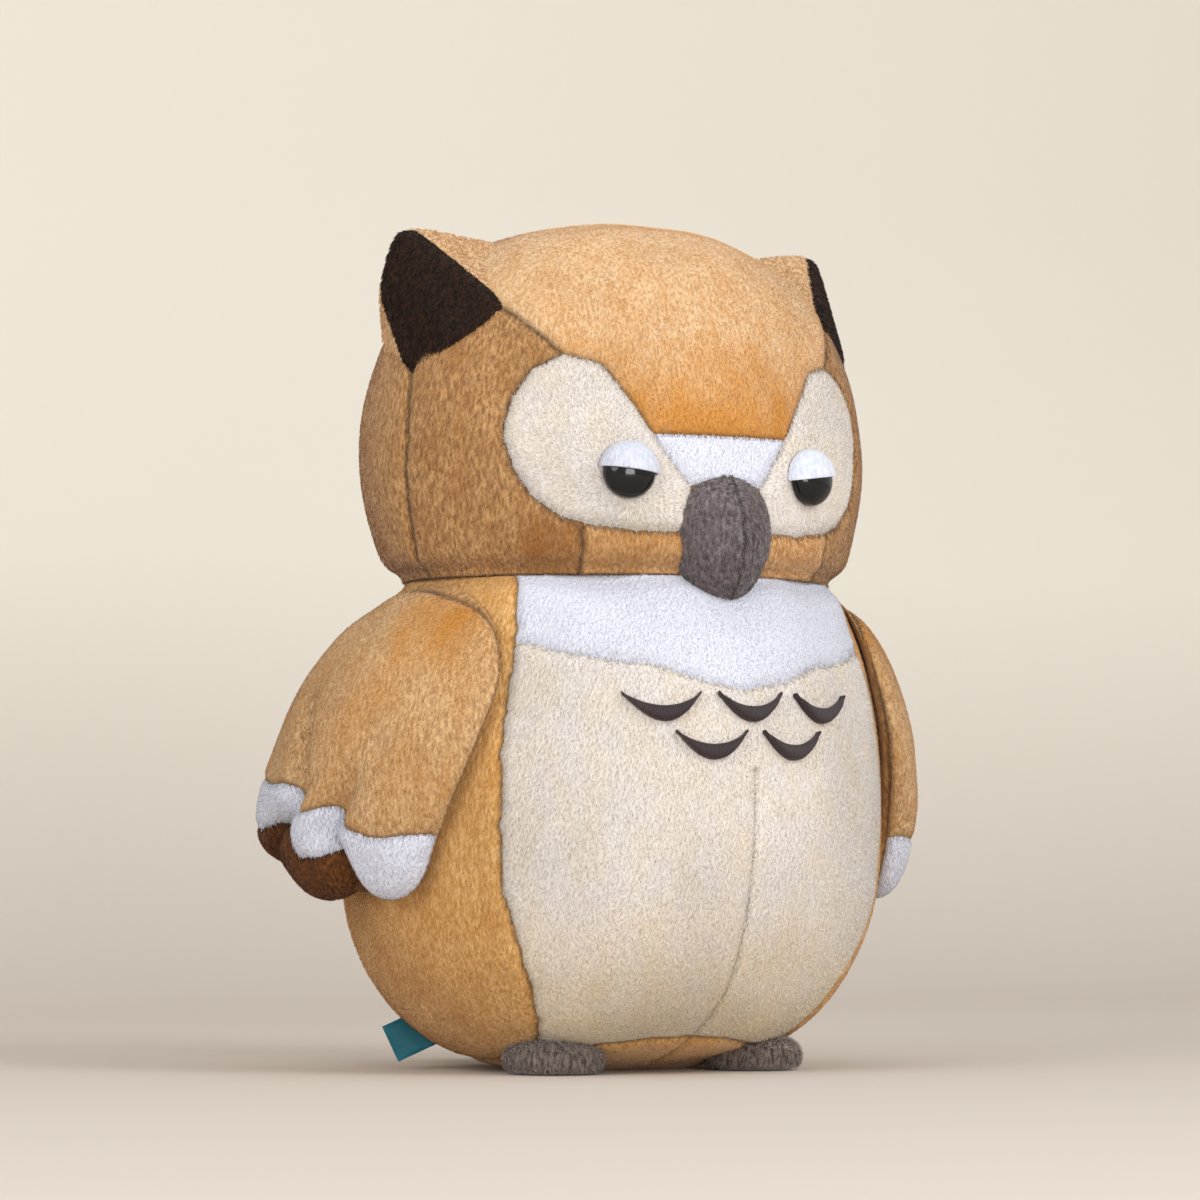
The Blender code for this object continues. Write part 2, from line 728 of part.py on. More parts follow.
upper_row = upper_row_share * neck_height
lower_row = lower_row_share * neck_height
upper_spread = upper_spread_share * body_half_width
lower_spread = lower_spread_share * body_half_width
stitch_places = {
    "crescent_upper_right": (-upper_spread, upper_row),
    "crescent_upper_middle": (0, upper_row),
    "crescent_upper_left": (upper_spread, upper_row),
    "crescent_lower_right": (-lower_spread, lower_row),
    "crescent_lower_left": (lower_spread, lower_row),
}
stitch_layer = grown(body_form, seam_gap + crescent_rise)
for name, (x, z) in stitch_places.items():
    crescent = placed(name, stitch_layer.copy(), toy, thread)
    outline = crescent_outline(x, z)
    cut(crescent, block(name + "_region", outline, "Y", -body_front - overrun, front_end), "INTERSECT")
    cut(crescent, body_clear)

# Wings: a plush cover with white bands and brown tips over three stuffed lobes, on a lining that lies on the body

wing_drop = 0.004
wing_bottom_share = 0.32
wing_top = neck_height - wing_drop
wing_bottom = wing_bottom_share * neck_height
wing_height = wing_top - wing_bottom
wing_thickness = 0.034
wing_clearance = 0.0024
# The lining takes in all of the wing's cloth that lies this near the body, its turned-in edges too
lining_depth = 0.0080
thinnest_hollow = 0.0018
thinnest_stuffing = 0.0006
# Rows, top first: height share, angles round the body from the front to its front and rear edge, fullness share
wing_rows = [
    (1.00, 70, 90, 0.16),
    (0.93, 58, 103, 0.40),
    (0.79, 52, 121, 0.70),
    (0.61, 53, 131, 0.88),
    (0.42, 58, 136, 1.02),
    (0.22, 64, 138, 1.16),
    (0.00, 68, 138, 0.90),
]
# Columns, front edge first: place share, fullness share, how far the bottom is drawn up as a share of the height
wing_column_shares = [
    (0.00, 0.36, 0.12),
    (0.12, 0.60, 0.01),
    (0.29, 0.72, 0.10),
    (0.43, 0.94, 0.00),
    (0.57, 0.88, 0.14),
    (0.79, 1.12, 0.10),
    (1.00, 0.60, 0.22),
]
# Upper edges of the white bands and of the brown tips, seen from the side: shares of depth and of height
wing_white_shares = [
    (-0.80, 0.250), (-0.51, 0.250), (-0.26, 0.235), (-0.12, 0.275), (-0.10, 0.330), (0.08, 0.310),
    (0.27, 0.345), (0.29, 0.420), (0.51, 0.417), (0.81, 0.475), (1.20, 0.540),
]
wing_brown_shares = [
    (-0.80, -0.20), (-0.12, -0.20), (-0.10, 0.185), (0.08, 0.165),
    (0.27, 0.185), (0.29, 0.280), (0.51, 0.265), (0.81, 0.303), (1.20, 0.350),
]


def body_side(angle, height):
    """The point of the body's surface at an angle from the front and a height, and the level way out there."""
    out = Vector((-math.sin(math.radians(angle)), -math.cos(math.radians(angle)), 0))
    start = Vector((0, 0, height)) + out * (body_half_width + overrun)
    point, _ = seat_on(body_surface, start, -out)
    return point, out


def wing_form(inset=0.0, thinnest=0.0):
    """The wing's closed form, drawn in all round by an inset but kept as thick as the thinnest given."""
    cage = bmesh.new()
    rows, columns = len(wing_rows) - 1, len(wing_column_shares) - 1
    bmesh.ops.create_grid(cage, x_segments=columns, y_segments=rows, size=1)
    pushed = bmesh.ops.extrude_face_region(cage, geom=cage.faces[:])
    outer = {part for part in pushed["geom"] if isinstance(part, bmesh.types.BMVert)}
    bmesh.ops.translate(cage, vec=(0, 0, 1), verts=list(outer))
    bmesh.ops.recalc_face_normals(cage, faces=cage.faces)
    for vert in cage.verts:
        column = round((vert.co.x + 1) / 2 * columns)
        row = round((1 - vert.co.y) / 2 * rows)
        rise, front, rear, row_full = wing_rows[row]
        place, column_full, drawn_up = wing_column_shares[column]
        turn = math.degrees(inset / body_half_width)
        angle = front + turn + (rear - front - 2 * turn) * place
        height = wing_bottom + inset + (wing_height - 2 * inset) * (rise + drawn_up * (1 - rise) ** 2)
        full = wing_thickness * row_full * column_full
        half = max((full - wing_clearance) / 2 - inset, thinnest / 2)
        middle = (full + wing_clearance) / 2
        point, out = body_side(angle, height)
        vert.co = point + out * (middle + half if vert in outer else middle - half)
    if cage.calc_volume(signed=True) < 0:
        bmesh.ops.reverse_faces(cage, faces=cage.faces)
    return smoothed(mesh_from("wing", cage))


def beside_body(shares):
    return [(y * body_back, wing_bottom + z * wing_height) for y, z in shares]


def band_block(name, upper_edge, growth=0.0):
    """A block over all of the right wing that lies below an edge."""
    outline = [(upper_edge[-1][0], -overrun), (upper_edge[0][0], -overrun)] + upper_edge
    return block(name, outline, "X", -body_reach, 0, growth)


white_edge = beside_body(wing_white_shares)
brown_edge = beside_body(wing_brown_shares)
under_white_edge = band_block("under_white_edge", white_edge)
under_white_edge_around = band_block("under_white_edge_around", white_edge, seam_gap)
under_brown_edge = band_block("under_brown_edge", brown_edge)
under_brown_edge_around = band_block("under_brown_edge_around", brown_edge, seam_gap)

near_body = placed("near_body", grown(body_form, lining_depth), cutters)
off_body = placed("off_body", grown(body_form, lining_depth + seam_gap), cutters)
wing_solid = wing_form()
wing_inside = placed("wing_inside", wing_form(plush_thickness, thinnest_hollow), cutters)


def wing_panel(name, material, inside, outside):
    return panel(name, wing_solid, material, inside, outside + [wing_inside])


wing_pieces = [
    wing_panel("wing_lining_right", side_plush, [near_body], [body_clear]),
    wing_panel("wing_cover_right", crown_plush, [], [under_white_edge_around, off_body]),
    wing_panel("wing_band_right", white_plush, [under_white_edge], [under_brown_edge_around, off_body]),
    wing_panel("wing_tips_right", tip_plush, [under_brown_edge], [off_body]),
    placed("wing_stuffing_right", wing_form(stuffing_depth, thinnest_stuffing), toy, fibre_fill),
]

# Tail: a flat stuffed tongue sewn along its root to the bottom of the back

tail_half_width = 0.030
tail_thickness = 0.011
tail_reach = 0.0335
tail_height_share = 0.15
tail_droop = math.radians(6)
tail_segments = 16
tail_rings = 8

tail_root, _ = seat_on(body_surface, (0, body_back + overrun, tail_height_share * neck_height), (0, -1, 0))
tail_shape = bmesh.new()
bmesh.ops.create_uvsphere(tail_shape, u_segments=tail_segments, v_segments=tail_rings, radius=1)
bmesh.ops.scale(tail_shape, vec=(tail_half_width, tail_reach, tail_thickness / 2), verts=tail_shape.verts)
bmesh.ops.rotate(tail_shape, cent=(0, 0, 0), matrix=Matrix.Rotation(-tail_droop, 3, "X"), verts=tail_shape.verts)
bmesh.ops.translate(tail_shape, vec=tail_root, verts=tail_shape.verts)
tail = placed("tail", mesh_from("tail", tail_shape), toy, tip_plush)
cut(tail, swing_clear)

# Label: a woven ribbon folded double, its width along the seam between the side and the back

label_width = 0.016
label_length = 0.018
label_thickness = 0.0014
label_height = 0.0155
label_angle = 119
label_fall = math.radians(25)
# How far its sewn-in end reaches back into the seam, where the cloth cuts it off
label_root = 0.012
label_softness = 0.0005

label_place, label_out = body_side(label_angle, label_height)
label_shape = bmesh.new()
bmesh.ops.create_cube(label_shape, size=1)
bmesh.ops.scale(
    label_shape, vec=(label_width, label_length + label_root, label_thickness), verts=label_shape.verts
)
bmesh.ops.translate(label_shape, vec=(0, (label_length - label_root) / 2, 0), verts=label_shape.verts)
fold = [edge for edge in label_shape.edges if all(v.co.y > 0 for v in edge.verts)]
bmesh.ops.bevel(
    label_shape, geom=fold, offset=label_softness, offset_type="OFFSET", segments=2,
    profile=0.5, affect="EDGES", material=-1,
)
label = placed("side_label", mesh_from("label", label_shape), toy, label_ribbon)
upward = Vector((0, 0, 1))
label_frame = Matrix((upward, label_out, upward.cross(label_out))).transposed().to_4x4()
label.matrix_world = Matrix.Translation(label_place) @ label_frame @ Matrix.Rotation(label_fall, 4, "Z")
cut(label, swing_clear)

# Twins on the owl's left side

for source in (eye, washer, lid, foot, ear, ear_front, *wing_pieces):
    mirrored(source, source.name.replace("right", "left"))

# Hinges: each wing lifts about its shoulder, the tail and the label about their roots

shoulder, _ = body_side(90, wing_top)


def hinge(name, place, pieces):
    empty = bpy.data.objects.new(name, None)
    toy.objects.link(empty)
    empty.location = place
    bpy.context.view_layer.update()
    for piece_name in pieces:
        piece = bpy.data.objects[piece_name]
        piece.parent = empty
        piece.matrix_parent_inverse = empty.matrix_world.inverted()


wing_parts = ("cover", "band", "tips", "lining", "stuffing")
hinge("shoulder_right", shoulder, [f"wing_{part}_right" for part in wing_parts])
hinge("shoulder_left", (-shoulder.x, shoulder.y, shoulder.z), [f"wing_{part}_left" for part in wing_parts])
tail_hinge = tail_root + Vector((0, 0, tail_thickness / 2))
hinge("tail_hinge", tail_hinge, ["tail"])
hinge("label_hinge", label_place, ["side_label"])

for made in toy.objects:
    if made.type == "MESH":
        soften(made)
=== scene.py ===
import math

import bmesh
import bpy
import numpy as np
from mathutils import Matrix, Vector, noise
from mathutils.bvhtree import BVHTree
from mathutils.kdtree import KDTree


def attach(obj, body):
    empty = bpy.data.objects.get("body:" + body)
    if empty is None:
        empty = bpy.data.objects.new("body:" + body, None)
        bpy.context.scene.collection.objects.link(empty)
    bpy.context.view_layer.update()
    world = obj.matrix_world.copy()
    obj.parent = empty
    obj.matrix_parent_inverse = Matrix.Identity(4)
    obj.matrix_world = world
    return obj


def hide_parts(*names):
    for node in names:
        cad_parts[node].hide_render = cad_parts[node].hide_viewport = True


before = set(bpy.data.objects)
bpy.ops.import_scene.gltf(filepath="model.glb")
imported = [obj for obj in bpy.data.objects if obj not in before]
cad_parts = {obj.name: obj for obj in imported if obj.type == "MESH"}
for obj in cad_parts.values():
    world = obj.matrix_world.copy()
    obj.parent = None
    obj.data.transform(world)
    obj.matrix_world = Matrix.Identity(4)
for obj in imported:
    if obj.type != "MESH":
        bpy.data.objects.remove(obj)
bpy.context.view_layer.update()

# Studio: a pale sweep of seamless paper, clear from behind, a large soft lamp above to the owl's left, one low in
# front and one to its right, and a long-lens camera at the height of the owl's chest.


def linear(code):
    """The linear colour of a six-digit screen colour."""
    parts = [int(code[k:k + 2], 16) / 255 for k in (0, 2, 4)]
    return (*(p / 12.92 if p <= 0.04045 else ((p + 0.055) / 1.055) ** 2.4 for p in parts), 1)


def mesh_from(name, shape):
    """A mesh of this bmesh, which is used up."""
    mesh = bpy.data.meshes.new(name)
    shape.to_mesh(mesh)
    shape.free()
    return mesh


def placed(name, mesh, material=None):
    """An object of this mesh, lamp or camera, in the scene."""
    made = bpy.data.objects.new(name, mesh)
    bpy.context.scene.collection.objects.link(made)
    if material:
        mesh.materials.clear()
        mesh.materials.append(material)
    return made


scene = bpy.context.scene
scene.view_settings.view_transform = "Standard"

lens = bpy.data.cameras.new("photo_lens")
lens.sensor_width = 36
lens.lens = 150
camera = placed("photo_camera", lens)
camera.location = (-1.038, -1.798, 0.082)
aim = Vector((-0.0036, 0.0021, 0.1943)) - camera.location
camera.rotation_euler = aim.to_track_quat("-Z", "Y").to_euler()
scene.camera = camera


def feed(tree, node, inputs):
    """Gives a node its inputs, each a plain value or what another node gives."""
    for socket, value in inputs.items():
        if isinstance(value, bpy.types.NodeSocket):
            tree.links.new(value, node.inputs[socket])
        else:
            node.inputs[socket].default_value = value


def wired(tree, kind, inputs, output=0, **settings):
    """What a new node with these inputs and settings gives."""
    made = tree.nodes.new(kind)
    for name, value in settings.items():
        setattr(made, name, value)
    feed(tree, made, inputs)
    return made.outputs[output]


def ranged(tree, value, low, high, out_low=0.0, out_high=1.0):
    """The value, moved from between low and high to between the two others."""
    return wired(tree, "ShaderNodeMapRange", {
        "Value": value, "From Min": low, "From Max": high, "To Min": out_low, "To Max": out_high})


def joined(tree, kind, factor, one, two):
    """Two colours mixed or multiplied."""
    return wired(tree, "ShaderNodeMix", {0: factor, 6: one, 7: two}, 2, data_type="RGBA", blend_type=kind)


def new_material(name, values):
    """A material, its nodes and its surface, which has these values."""
    made = bpy.data.materials.new(name)
    made.use_nodes = True
    surface = made.node_tree.nodes["Principled BSDF"]
    feed(made.node_tree, surface, values)
    return made, made.node_tree, surface


paper, tree, surface = new_material("studio_paper", {"Roughness": 0.9, "Specular IOR Level": 0.1})
place = wired(tree, "ShaderNodeTexCoord", {}, "Object")
# Painted shade: the paper is darker on the floor and lightens up to its wall colour 0.3 m above it.
rise = ranged(tree, wired(tree, "ShaderNodeSeparateXYZ", {0: place}, "Z"), 0, 0.3)
feed(tree, surface, {"Base Color": joined(tree, "MIX", rise, linear("c9bfb6"), linear("e6e0d3"))})
behind = wired(tree, "ShaderNodeNewGeometry", {}, "Backfacing")
clear = wired(tree, "ShaderNodeBsdfTransparent", {})
shown = wired(tree, "ShaderNodeMixShader", {0: behind, 1: surface.outputs[0], 2: clear})
feed(tree, tree.nodes["Material Output"], {"Surface": shown})

half_paper, near_edge, floor_run, wall_rise, bend_step = 4.0, -3.5, 4.3, 3.2, 0.10
sweep = bmesh.new()
rim = [sweep.edges.new([sweep.verts.new((x, near_edge, 0)) for x in (-half_paper, half_paper)])]
turns = [math.radians(9 * k) for k in range(9, 0, -1)]
bend = [(0, bend_step * math.sin(turn), bend_step * math.cos(turn)) for turn in turns]
for step in [(0, floor_run, 0)] + bend + [(0, 0, wall_rise)]:
    pushed = bmesh.ops.extrude_edge_only(sweep, edges=rim)
    rim = [part for part in pushed["geom"] if isinstance(part, bmesh.types.BMEdge)]
    bmesh.ops.translate(sweep, vec=step, verts=list({v for e in rim for v in e.verts}))
bmesh.ops.recalc_face_normals(sweep, faces=sweep.faces)
if sum(face.normal.z for face in sweep.faces) < 0:
    bmesh.ops.reverse_faces(sweep, faces=sweep.faces)
backdrop = placed("studio_sweep", mesh_from("studio_sweep", sweep), paper)
backdrop.data.shade_smooth()


def lamp(name, place, size, power, colour):
    """A round soft lamp that looks at the middle of the owl."""
    light = bpy.data.lights.new(name, "AREA")
    light.shape = "DISK"
    light.size = size
    light.energy = power
    light.color = colour
    made = placed(name, light)
    made.location = place
    made.rotation_euler = (Vector((0, 0, 0.17)) - made.location).to_track_quat("-Z", "Y").to_euler()


lamp("key_lamp", (0.7, -1.9, 1.5), 1.2, 22, (1.0, 1.0, 1.0))
lamp("low_lamp", (-0.5, -2.2, 0.22), 1.0, 22, (1.0, 0.99, 0.97))
lamp("side_lamp", (-2.1, -1.0, 1.0), 1.4, 20, (0.97, 0.985, 1.0))
scene.world = bpy.data.worlds.new("studio_air")
scene.world.use_nodes = True
tree = scene.world.node_tree
feed(tree, tree.nodes["Background"], {"Color": linear("f0f0f0"), "Strength": 0.85})

# Head: nine panels of short-pile plush, sewn edge to edge over loose polyester fill. Each panel is cut from
# one smooth stuffed form, sinks at its seams, and carries its own combed pile.

neck, cloth, no_seam = 0.200, 0.0033, 0.01
plain_pile, clipped_pile, pale_fringe = 0.0013, 0.0010, 1.6
head_neck_hole, body_neck_hole, allowance = 0.062, 0.058, 0.0004
form_levels = 5


def smoothed(name, cage, levels):
    """The mesh of a cage with its subdivision surface applied."""
    holder = placed(name, mesh_from(name, cage))
    surface = holder.modifiers.new("Smooth", "SUBSURF")
    surface.levels = surface.render_levels = levels
    bpy.context.view_layer.update()
    mesh = bpy.data.meshes.new_from_object(holder.evaluated_get(bpy.context.evaluated_depsgraph_get()))
    bpy.data.objects.remove(holder)
    return mesh


def points_of(mesh, field="co"):
    flat = np.empty(len(mesh.vertices) * 3)
    mesh.vertices.foreach_get(field, flat)
    return flat.reshape(-1, 3)


def normals_of(mesh):
    return points_of(mesh, "normal")


def put_points(mesh, points):
    mesh.vertices.foreach_set("co", points.reshape(-1))
    mesh.update()


def values_of(mesh, name, parts=1):
    """The numbers, or with parts=3 the directions, that are stored for the points of the mesh."""
    flat = np.empty(len(mesh.vertices) * parts, dtype=np.float32)
    mesh.attributes[name].data.foreach_get("vector" if parts == 3 else "value", flat)
    return flat.reshape(-1, 3) if parts == 3 else flat


def put_values(mesh, name, values):
    """Stores a number or a direction for each point of the mesh."""
    values = np.asarray(values, dtype=np.float32)
    kind, field = ("FLOAT_VECTOR", "vector") if values.ndim == 2 else ("FLOAT", "value")
    layer = mesh.attributes.get(name) or mesh.attributes.new(name, kind, "POINT")
    layer.data.foreach_set(field, values.reshape(-1))


def stuffed_form(name, rows, segments, size, levels):
    """A smooth closed form from rings of shares: height, half width, front depth and back depth.

    The size is its half width, its depth to the front and to the back, its bottom and its top.
    """
    half_width, front, back, bottom, top = size
    cage = bmesh.new()
    rings = len(rows) - 1
    bmesh.ops.create_uvsphere(cage, u_segments=segments, v_segments=rings, radius=1)
    for vert in cage.verts:
        ring = round(math.acos(max(-1, min(1, vert.co.z))) / math.pi * rings)
        height, wide, fore, aft = rows[ring]
        around = Vector((vert.co.x, vert.co.y)).normalized() if 0 < ring < rings else Vector((0, 0))
        vert.co = (around.x * wide, around.y * (fore if around.y < 0 else aft), height)
    form = smoothed(name, cage, levels)
    points = points_of(form)
    low, high = points.min(axis=0), points.max(axis=0)
    points[:, 0] *= half_width / high[0]
    points[:, 1] *= np.where(points[:, 1] < 0, front / -low[1], back / high[1])
    points[:, 2] = bottom + (points[:, 2] - low[2]) / (high[2] - low[2]) * (top - bottom)
    put_points(form, points)
    return form


def surface_of(mesh):
    return BVHTree.FromPolygons([v.co for v in mesh.vertices], [f.vertices for f in mesh.polygons])


def nearest_node(mesh, names):
    """For each face of the mesh, the number in names of the CAD node that lies nearest, frayed at the seams."""
    corners, faces, owner = [], [], []
    for number, name in enumerate(names):
        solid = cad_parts[name].data
        start = len(corners)
        corners.extend(v.co.copy() for v in solid.vertices)
        faces.extend([start + k for k in face.vertices] for face in solid.polygons)
        owner.extend([number] * len(solid.polygons))
    tree = BVHTree.FromPolygons(corners, faces)
    frayed = [face.center + noise.noise_vector(face.center / 0.0035) * 0.0005 for face in mesh.polygons]
    return np.array([owner[tree.find_nearest(place)[2]] for place in frayed])


def even_seams(mesh, owner):
    """Draws the points on each seam, and a little those beside it, into an even line. Returns those on it."""
    sides = {}
    for face, number in zip(mesh.polygons, owner):
        for ends in face.edge_keys:
            sides.setdefault(ends, set()).add(number)
    every = np.array(list(sides))
    seam = np.array([ends for ends, numbers in sides.items() if len(numbers) > 1])
    points = points_of(mesh)
    beside = np.zeros(len(points), dtype=bool)
    beside[every[np.isin(every, seam).any(axis=1)].reshape(-1)] = True
    beside[seam.reshape(-1)] = False
    for pairs, moved, times in ((seam, None, 5), (every, beside, 1)):
        for _ in range(times):
            total, count = np.zeros_like(points), np.zeros(len(points))
            for one, two in ((0, 1), (1, 0)):
                np.add.at(total, pairs[:, one], points[pairs[:, two]])
                np.add.at(count, pairs[:, one], 1)
            chosen = (count > 0) & (True if moved is None else moved)
            points[chosen] += 0.5 * (total[chosen] / count[chosen][:, None] - points[chosen])
    put_points(mesh, points)
    return np.unique(seam)


def sink_seams(mesh, owner, depth, width, neck_depth=0.0, dart_top=0.0):
    """Draws the surface in along its seams, its dart and its neck.

    It stores which way the seam is, and how far each point is from a seam or the dart, which sets the painted shade
    along them.
    """
    on_seam = even_seams(mesh, owner)
    points = points_of(mesh)
    tree = KDTree(len(on_seam))
    for number, place in enumerate(points[on_seam]):
        tree.insert(place, number)
    tree.balance()
    found = [tree.find(p) for p in points]
    distance = np.array([reach for _, _, reach in found])
    to_seam = (np.array([place for place, _, _ in found]) - points) / np.maximum(distance, 1e-6)[:, None]
    put_values(mesh, "to_seam", to_seam)
    if dart_top:
        on_dart = (points[:, 1] < -0.03) & (points[:, 2] < dart_top)
        distance = np.where(on_dart, np.minimum(distance, abs(points[:, 0]) + 0.0007), distance)
    put_values(mesh, "seam", distance)
    fall = depth * np.exp(-(distance / width) ** 2)
    fall = np.maximum(fall, neck_depth * np.exp(-(abs(points[:, 2] - neck) / 0.0055) ** 2))
    put_points(mesh, points - normals_of(mesh) * fall[:, None])


def ripple(mesh, height, scale, seed):
    """A gentle unevenness, as loose fill gives a skin."""
    shift = Vector((seed, 2.3 * seed, 4.1 * seed))
    points = points_of(mesh)
    waves = np.array([noise.noise(Vector(p) / scale + shift) for p in points])
    put_points(mesh, points + normals_of(mesh) * (height * waves)[:, None])


def parts_of(mesh, owner, names, keep=None):
    """Splits the form into one mesh for each name, from the faces whose middles are kept."""
    middles = np.array([face.center for face in mesh.polygons])
    kept = keep(middles) if keep else np.full(len(middles), True)
    pieces = {}
    for number, name in enumerate(names):
        shape = bmesh.new()
        shape.from_mesh(mesh)
        shape.faces.ensure_lookup_table()
        loose = [shape.faces[k] for k in np.flatnonzero((owner != number) | ~kept)]
        bmesh.ops.delete(shape, geom=loose, context="FACES")
        pieces[name] = mesh_from(name, shape)
    return pieces


def wrap_map(mesh, centre):
    """A flat map of the surface by its direction from a centre."""
    points = points_of(mesh) - np.array(centre)
    middle = math.atan2(points[:, 0].mean(), -points[:, 1].mean())
    turn = (np.arctan2(points[:, 0], -points[:, 1]) - middle + math.pi) % math.tau
    lift = np.arctan2(points[:, 2], np.hypot(points[:, 0], points[:, 1]))
    flat = np.stack([turn / math.tau, lift / math.pi + 0.5], axis=1)
    low = flat.min(axis=0)
    flat = 0.02 + 0.96 * (flat - low) / np.maximum(flat.max(axis=0) - low, 1e-6)
    corner = np.empty(len(mesh.loops), dtype=np.int32)
    mesh.loops.foreach_get("vertex_index", corner)
    layer = mesh.uv_layers.new(name="OFBake")
    layer.uv.foreach_set("vector", flat[corner].reshape(-1).astype(np.float32))


def comb(mesh, way, rich=None, fringe=0.0):
    """Stores which way the pile lies, where it is warmer in colour, and where the skin has none.

    It has none where the piece stands on the table or is drawn into a seam. A fringe lies out over the seams.
    """
    points, normals = points_of(mesh), normals_of(mesh)
    lie = np.array([way(p) for p in points], dtype=float)
    if "seam" not in mesh.attributes:
        put_values(mesh, "seam", np.full(len(points), no_seam))
    distance = values_of(mesh, "seam")
    if fringe:
        lie /= np.maximum(np.linalg.norm(lie, axis=1), 1e-6)[:, None]
        lie += values_of(mesh, "to_seam", 3) * (fringe * np.exp(-distance / 0.0020))[:, None]
    lie[:, 2] *= np.clip((points[:, 2] - 0.0015) / 0.0040, 0, 1)
    lie -= normals * (lie * normals).sum(axis=1)[:, None]
    lie /= np.maximum(np.linalg.norm(lie, axis=1), 1e-6)[:, None]
    put_values(mesh, "comb", lie)
    cover = np.clip((points[:, 2] - 0.0014) / 0.0020, 0, 1) * np.clip((distance + 0.0002) / 0.0005, 0, 1)
    put_values(mesh, "cover", cover)
    put_values(mesh, "rich", [rich(p) if rich else 0.0 for p in points])


def down(point):
    return (0, 0, -1)


def add_sockets(tree, direction, kind, names):
    for name in names:
        tree.interface.new_socket(name, in_out=direction, socket_type="NodeSocket" + kind)


def worked(tree, operation, one, two, kind="ShaderNodeMath"):
    """A sum, a product or the like of what two nodes give."""
    return wired(tree, kind, {0: one, "Scale" if operation == "SCALE" else 1: two}, operation=operation)


def pile_tree():
    """Nodes that set closed, pointed tufts on a skin, leaning along its comb."""
    tree = bpy.data.node_groups.new("combed_pile", "GeometryNodeTree")
    add_sockets(tree, "INPUT", "Geometry", ["Skin"])
    add_sockets(tree, "INPUT", "Float", ["Density", "Length", "Width", "Lean", "Stray"])
    add_sockets(tree, "INPUT", "Int", ["Seed"])
    add_sockets(tree, "INPUT", "Material", ["Finish"])
    add_sockets(tree, "OUTPUT", "Geometry", ["Skin"])
    given = tree.nodes.new("NodeGroupInput").outputs
    vector = "ShaderNodeVectorMath"

    def stored(name, kind="FLOAT"):
        return wired(tree, "GeometryNodeInputNamedAttribute", {"Name": name}, "Attribute", data_type=kind)

    def store(geometry, name, value):
        return wired(tree, "GeometryNodeStoreNamedAttribute", {"Geometry": geometry, "Name": name, "Value": value},
                     "Geometry", data_type="FLOAT", domain="POINT")

    def chance(kind, low, high, seed):
        made = tree.nodes.new("FunctionNodeRandomValue")
        made.data_type = kind
        if kind == "FLOAT_VECTOR":
            made.inputs["Min"].default_value, made.inputs["Max"].default_value = (low,) * 3, (high,) * 3
            value = made.outputs["Value"]
        else:
            numbers = [socket for socket in made.inputs if socket.enabled and socket.name in ("Min", "Max")]
            numbers[0].default_value, numbers[1].default_value = low, high
            value = next(socket for socket in made.outputs if socket.enabled)
        made.inputs["Seed"].default_value = seed
        return value

    density = worked(tree, "MULTIPLY", given["Density"], stored("cover"))
    points = wired(tree, "GeometryNodeDistributePointsOnFaces",
                   {"Mesh": given["Skin"], "Density": density, "Seed": given["Seed"]}, "Points")
    lean = worked(tree, "SCALE", stored("comb", "FLOAT_VECTOR"), given["Lean"], vector)
    loose = worked(tree, "SCALE", chance("FLOAT_VECTOR", -1, 1, 1), given["Stray"], vector)
    combed = worked(tree, "ADD", points.node.outputs["Normal"], lean, vector)
    turn = wired(tree, "FunctionNodeAlignRotationToVector",
                 {"Vector": worked(tree, "ADD", combed, loose, vector)}, "Rotation", axis="Z")

    tuft = wired(tree, "GeometryNodeMeshCone",
                 {"Vertices": 3, "Radius Top": 0, "Radius Bottom": given["Width"], "Depth": given["Length"]}, "Mesh")
    up = wired(tree, "ShaderNodeSeparateXYZ", {0: wired(tree, "GeometryNodeInputPosition", {})}, "Z")
    longer = ranged(tree, stored("seam"), 0, 0.0025, 1.7, 1.0)
    stand = wired(tree, "GeometryNodeInstanceOnPoints", {
        "Points": store(points, "tone", chance("FLOAT", 0, 1, 3)),
        "Instance": store(tuft, "tip", worked(tree, "DIVIDE", up, given["Length"])), "Rotation": turn,
        "Scale": worked(tree, "MULTIPLY", chance("FLOAT", 0.7, 1.2, 7), longer)}, "Instances")
    both = tree.nodes.new("GeometryNodeJoinGeometry")
    for share in (wired(tree, "GeometryNodeRealizeInstances", {"Geometry": stand}), given["Skin"]):
        feed(tree, both, {0: share})
    smooth = wired(tree, "GeometryNodeSetShadeSmooth", {"Geometry": both.outputs[0]})
    coloured = wired(tree, "GeometryNodeSetMaterial", {"Geometry": smooth, "Material": given["Finish"]})
    feed(tree, tree.nodes.new("NodeGroupOutput"), {0: coloured})
    return tree


combed_pile = pile_tree()


def piled(name, mesh, finish, density, length=plain_pile, width=0.00016, lean=2.2, stray=0.22, seed=1):
    """An object of this skin with its pile on it. Density is in tufts for each square millimetre."""
    made = placed(name, mesh)
    grow = made.modifiers.new("Pile", "NODES")
    grow.node_group = combed_pile
    values = {"Density": density * 1e6 * 1, "Length": length, "Width": width,
              "Lean": lean, "Stray": stray, "Seed": seed, "Finish": finish}
    for socket in combed_pile.interface.items_tree:
        if socket.in_out == "INPUT" and socket.name in values:
            grow[socket.identifier] = values[socket.name]
    bpy.context.view_layer.update()
    full = bpy.data.meshes.new_from_object(made.evaluated_get(bpy.context.evaluated_depsgraph_get()))
    made.modifiers.clear()
    made.data = full
    full.name = name
    bpy.data.meshes.remove(mesh)
    return made


def cloud(tree, scale, detail, stretch):
    """Noise over the piece, its features stretched where a number is small."""
    place = wired(tree, "ShaderNodeTexCoord", {}, "Object")
    place = wired(tree, "ShaderNodeMapping", {"Vector": place, "Scale": stretch})
    return wired(tree, "ShaderNodeTexNoise", {"Vector": place, "Scale": scale, "Detail": detail}, "Fac")


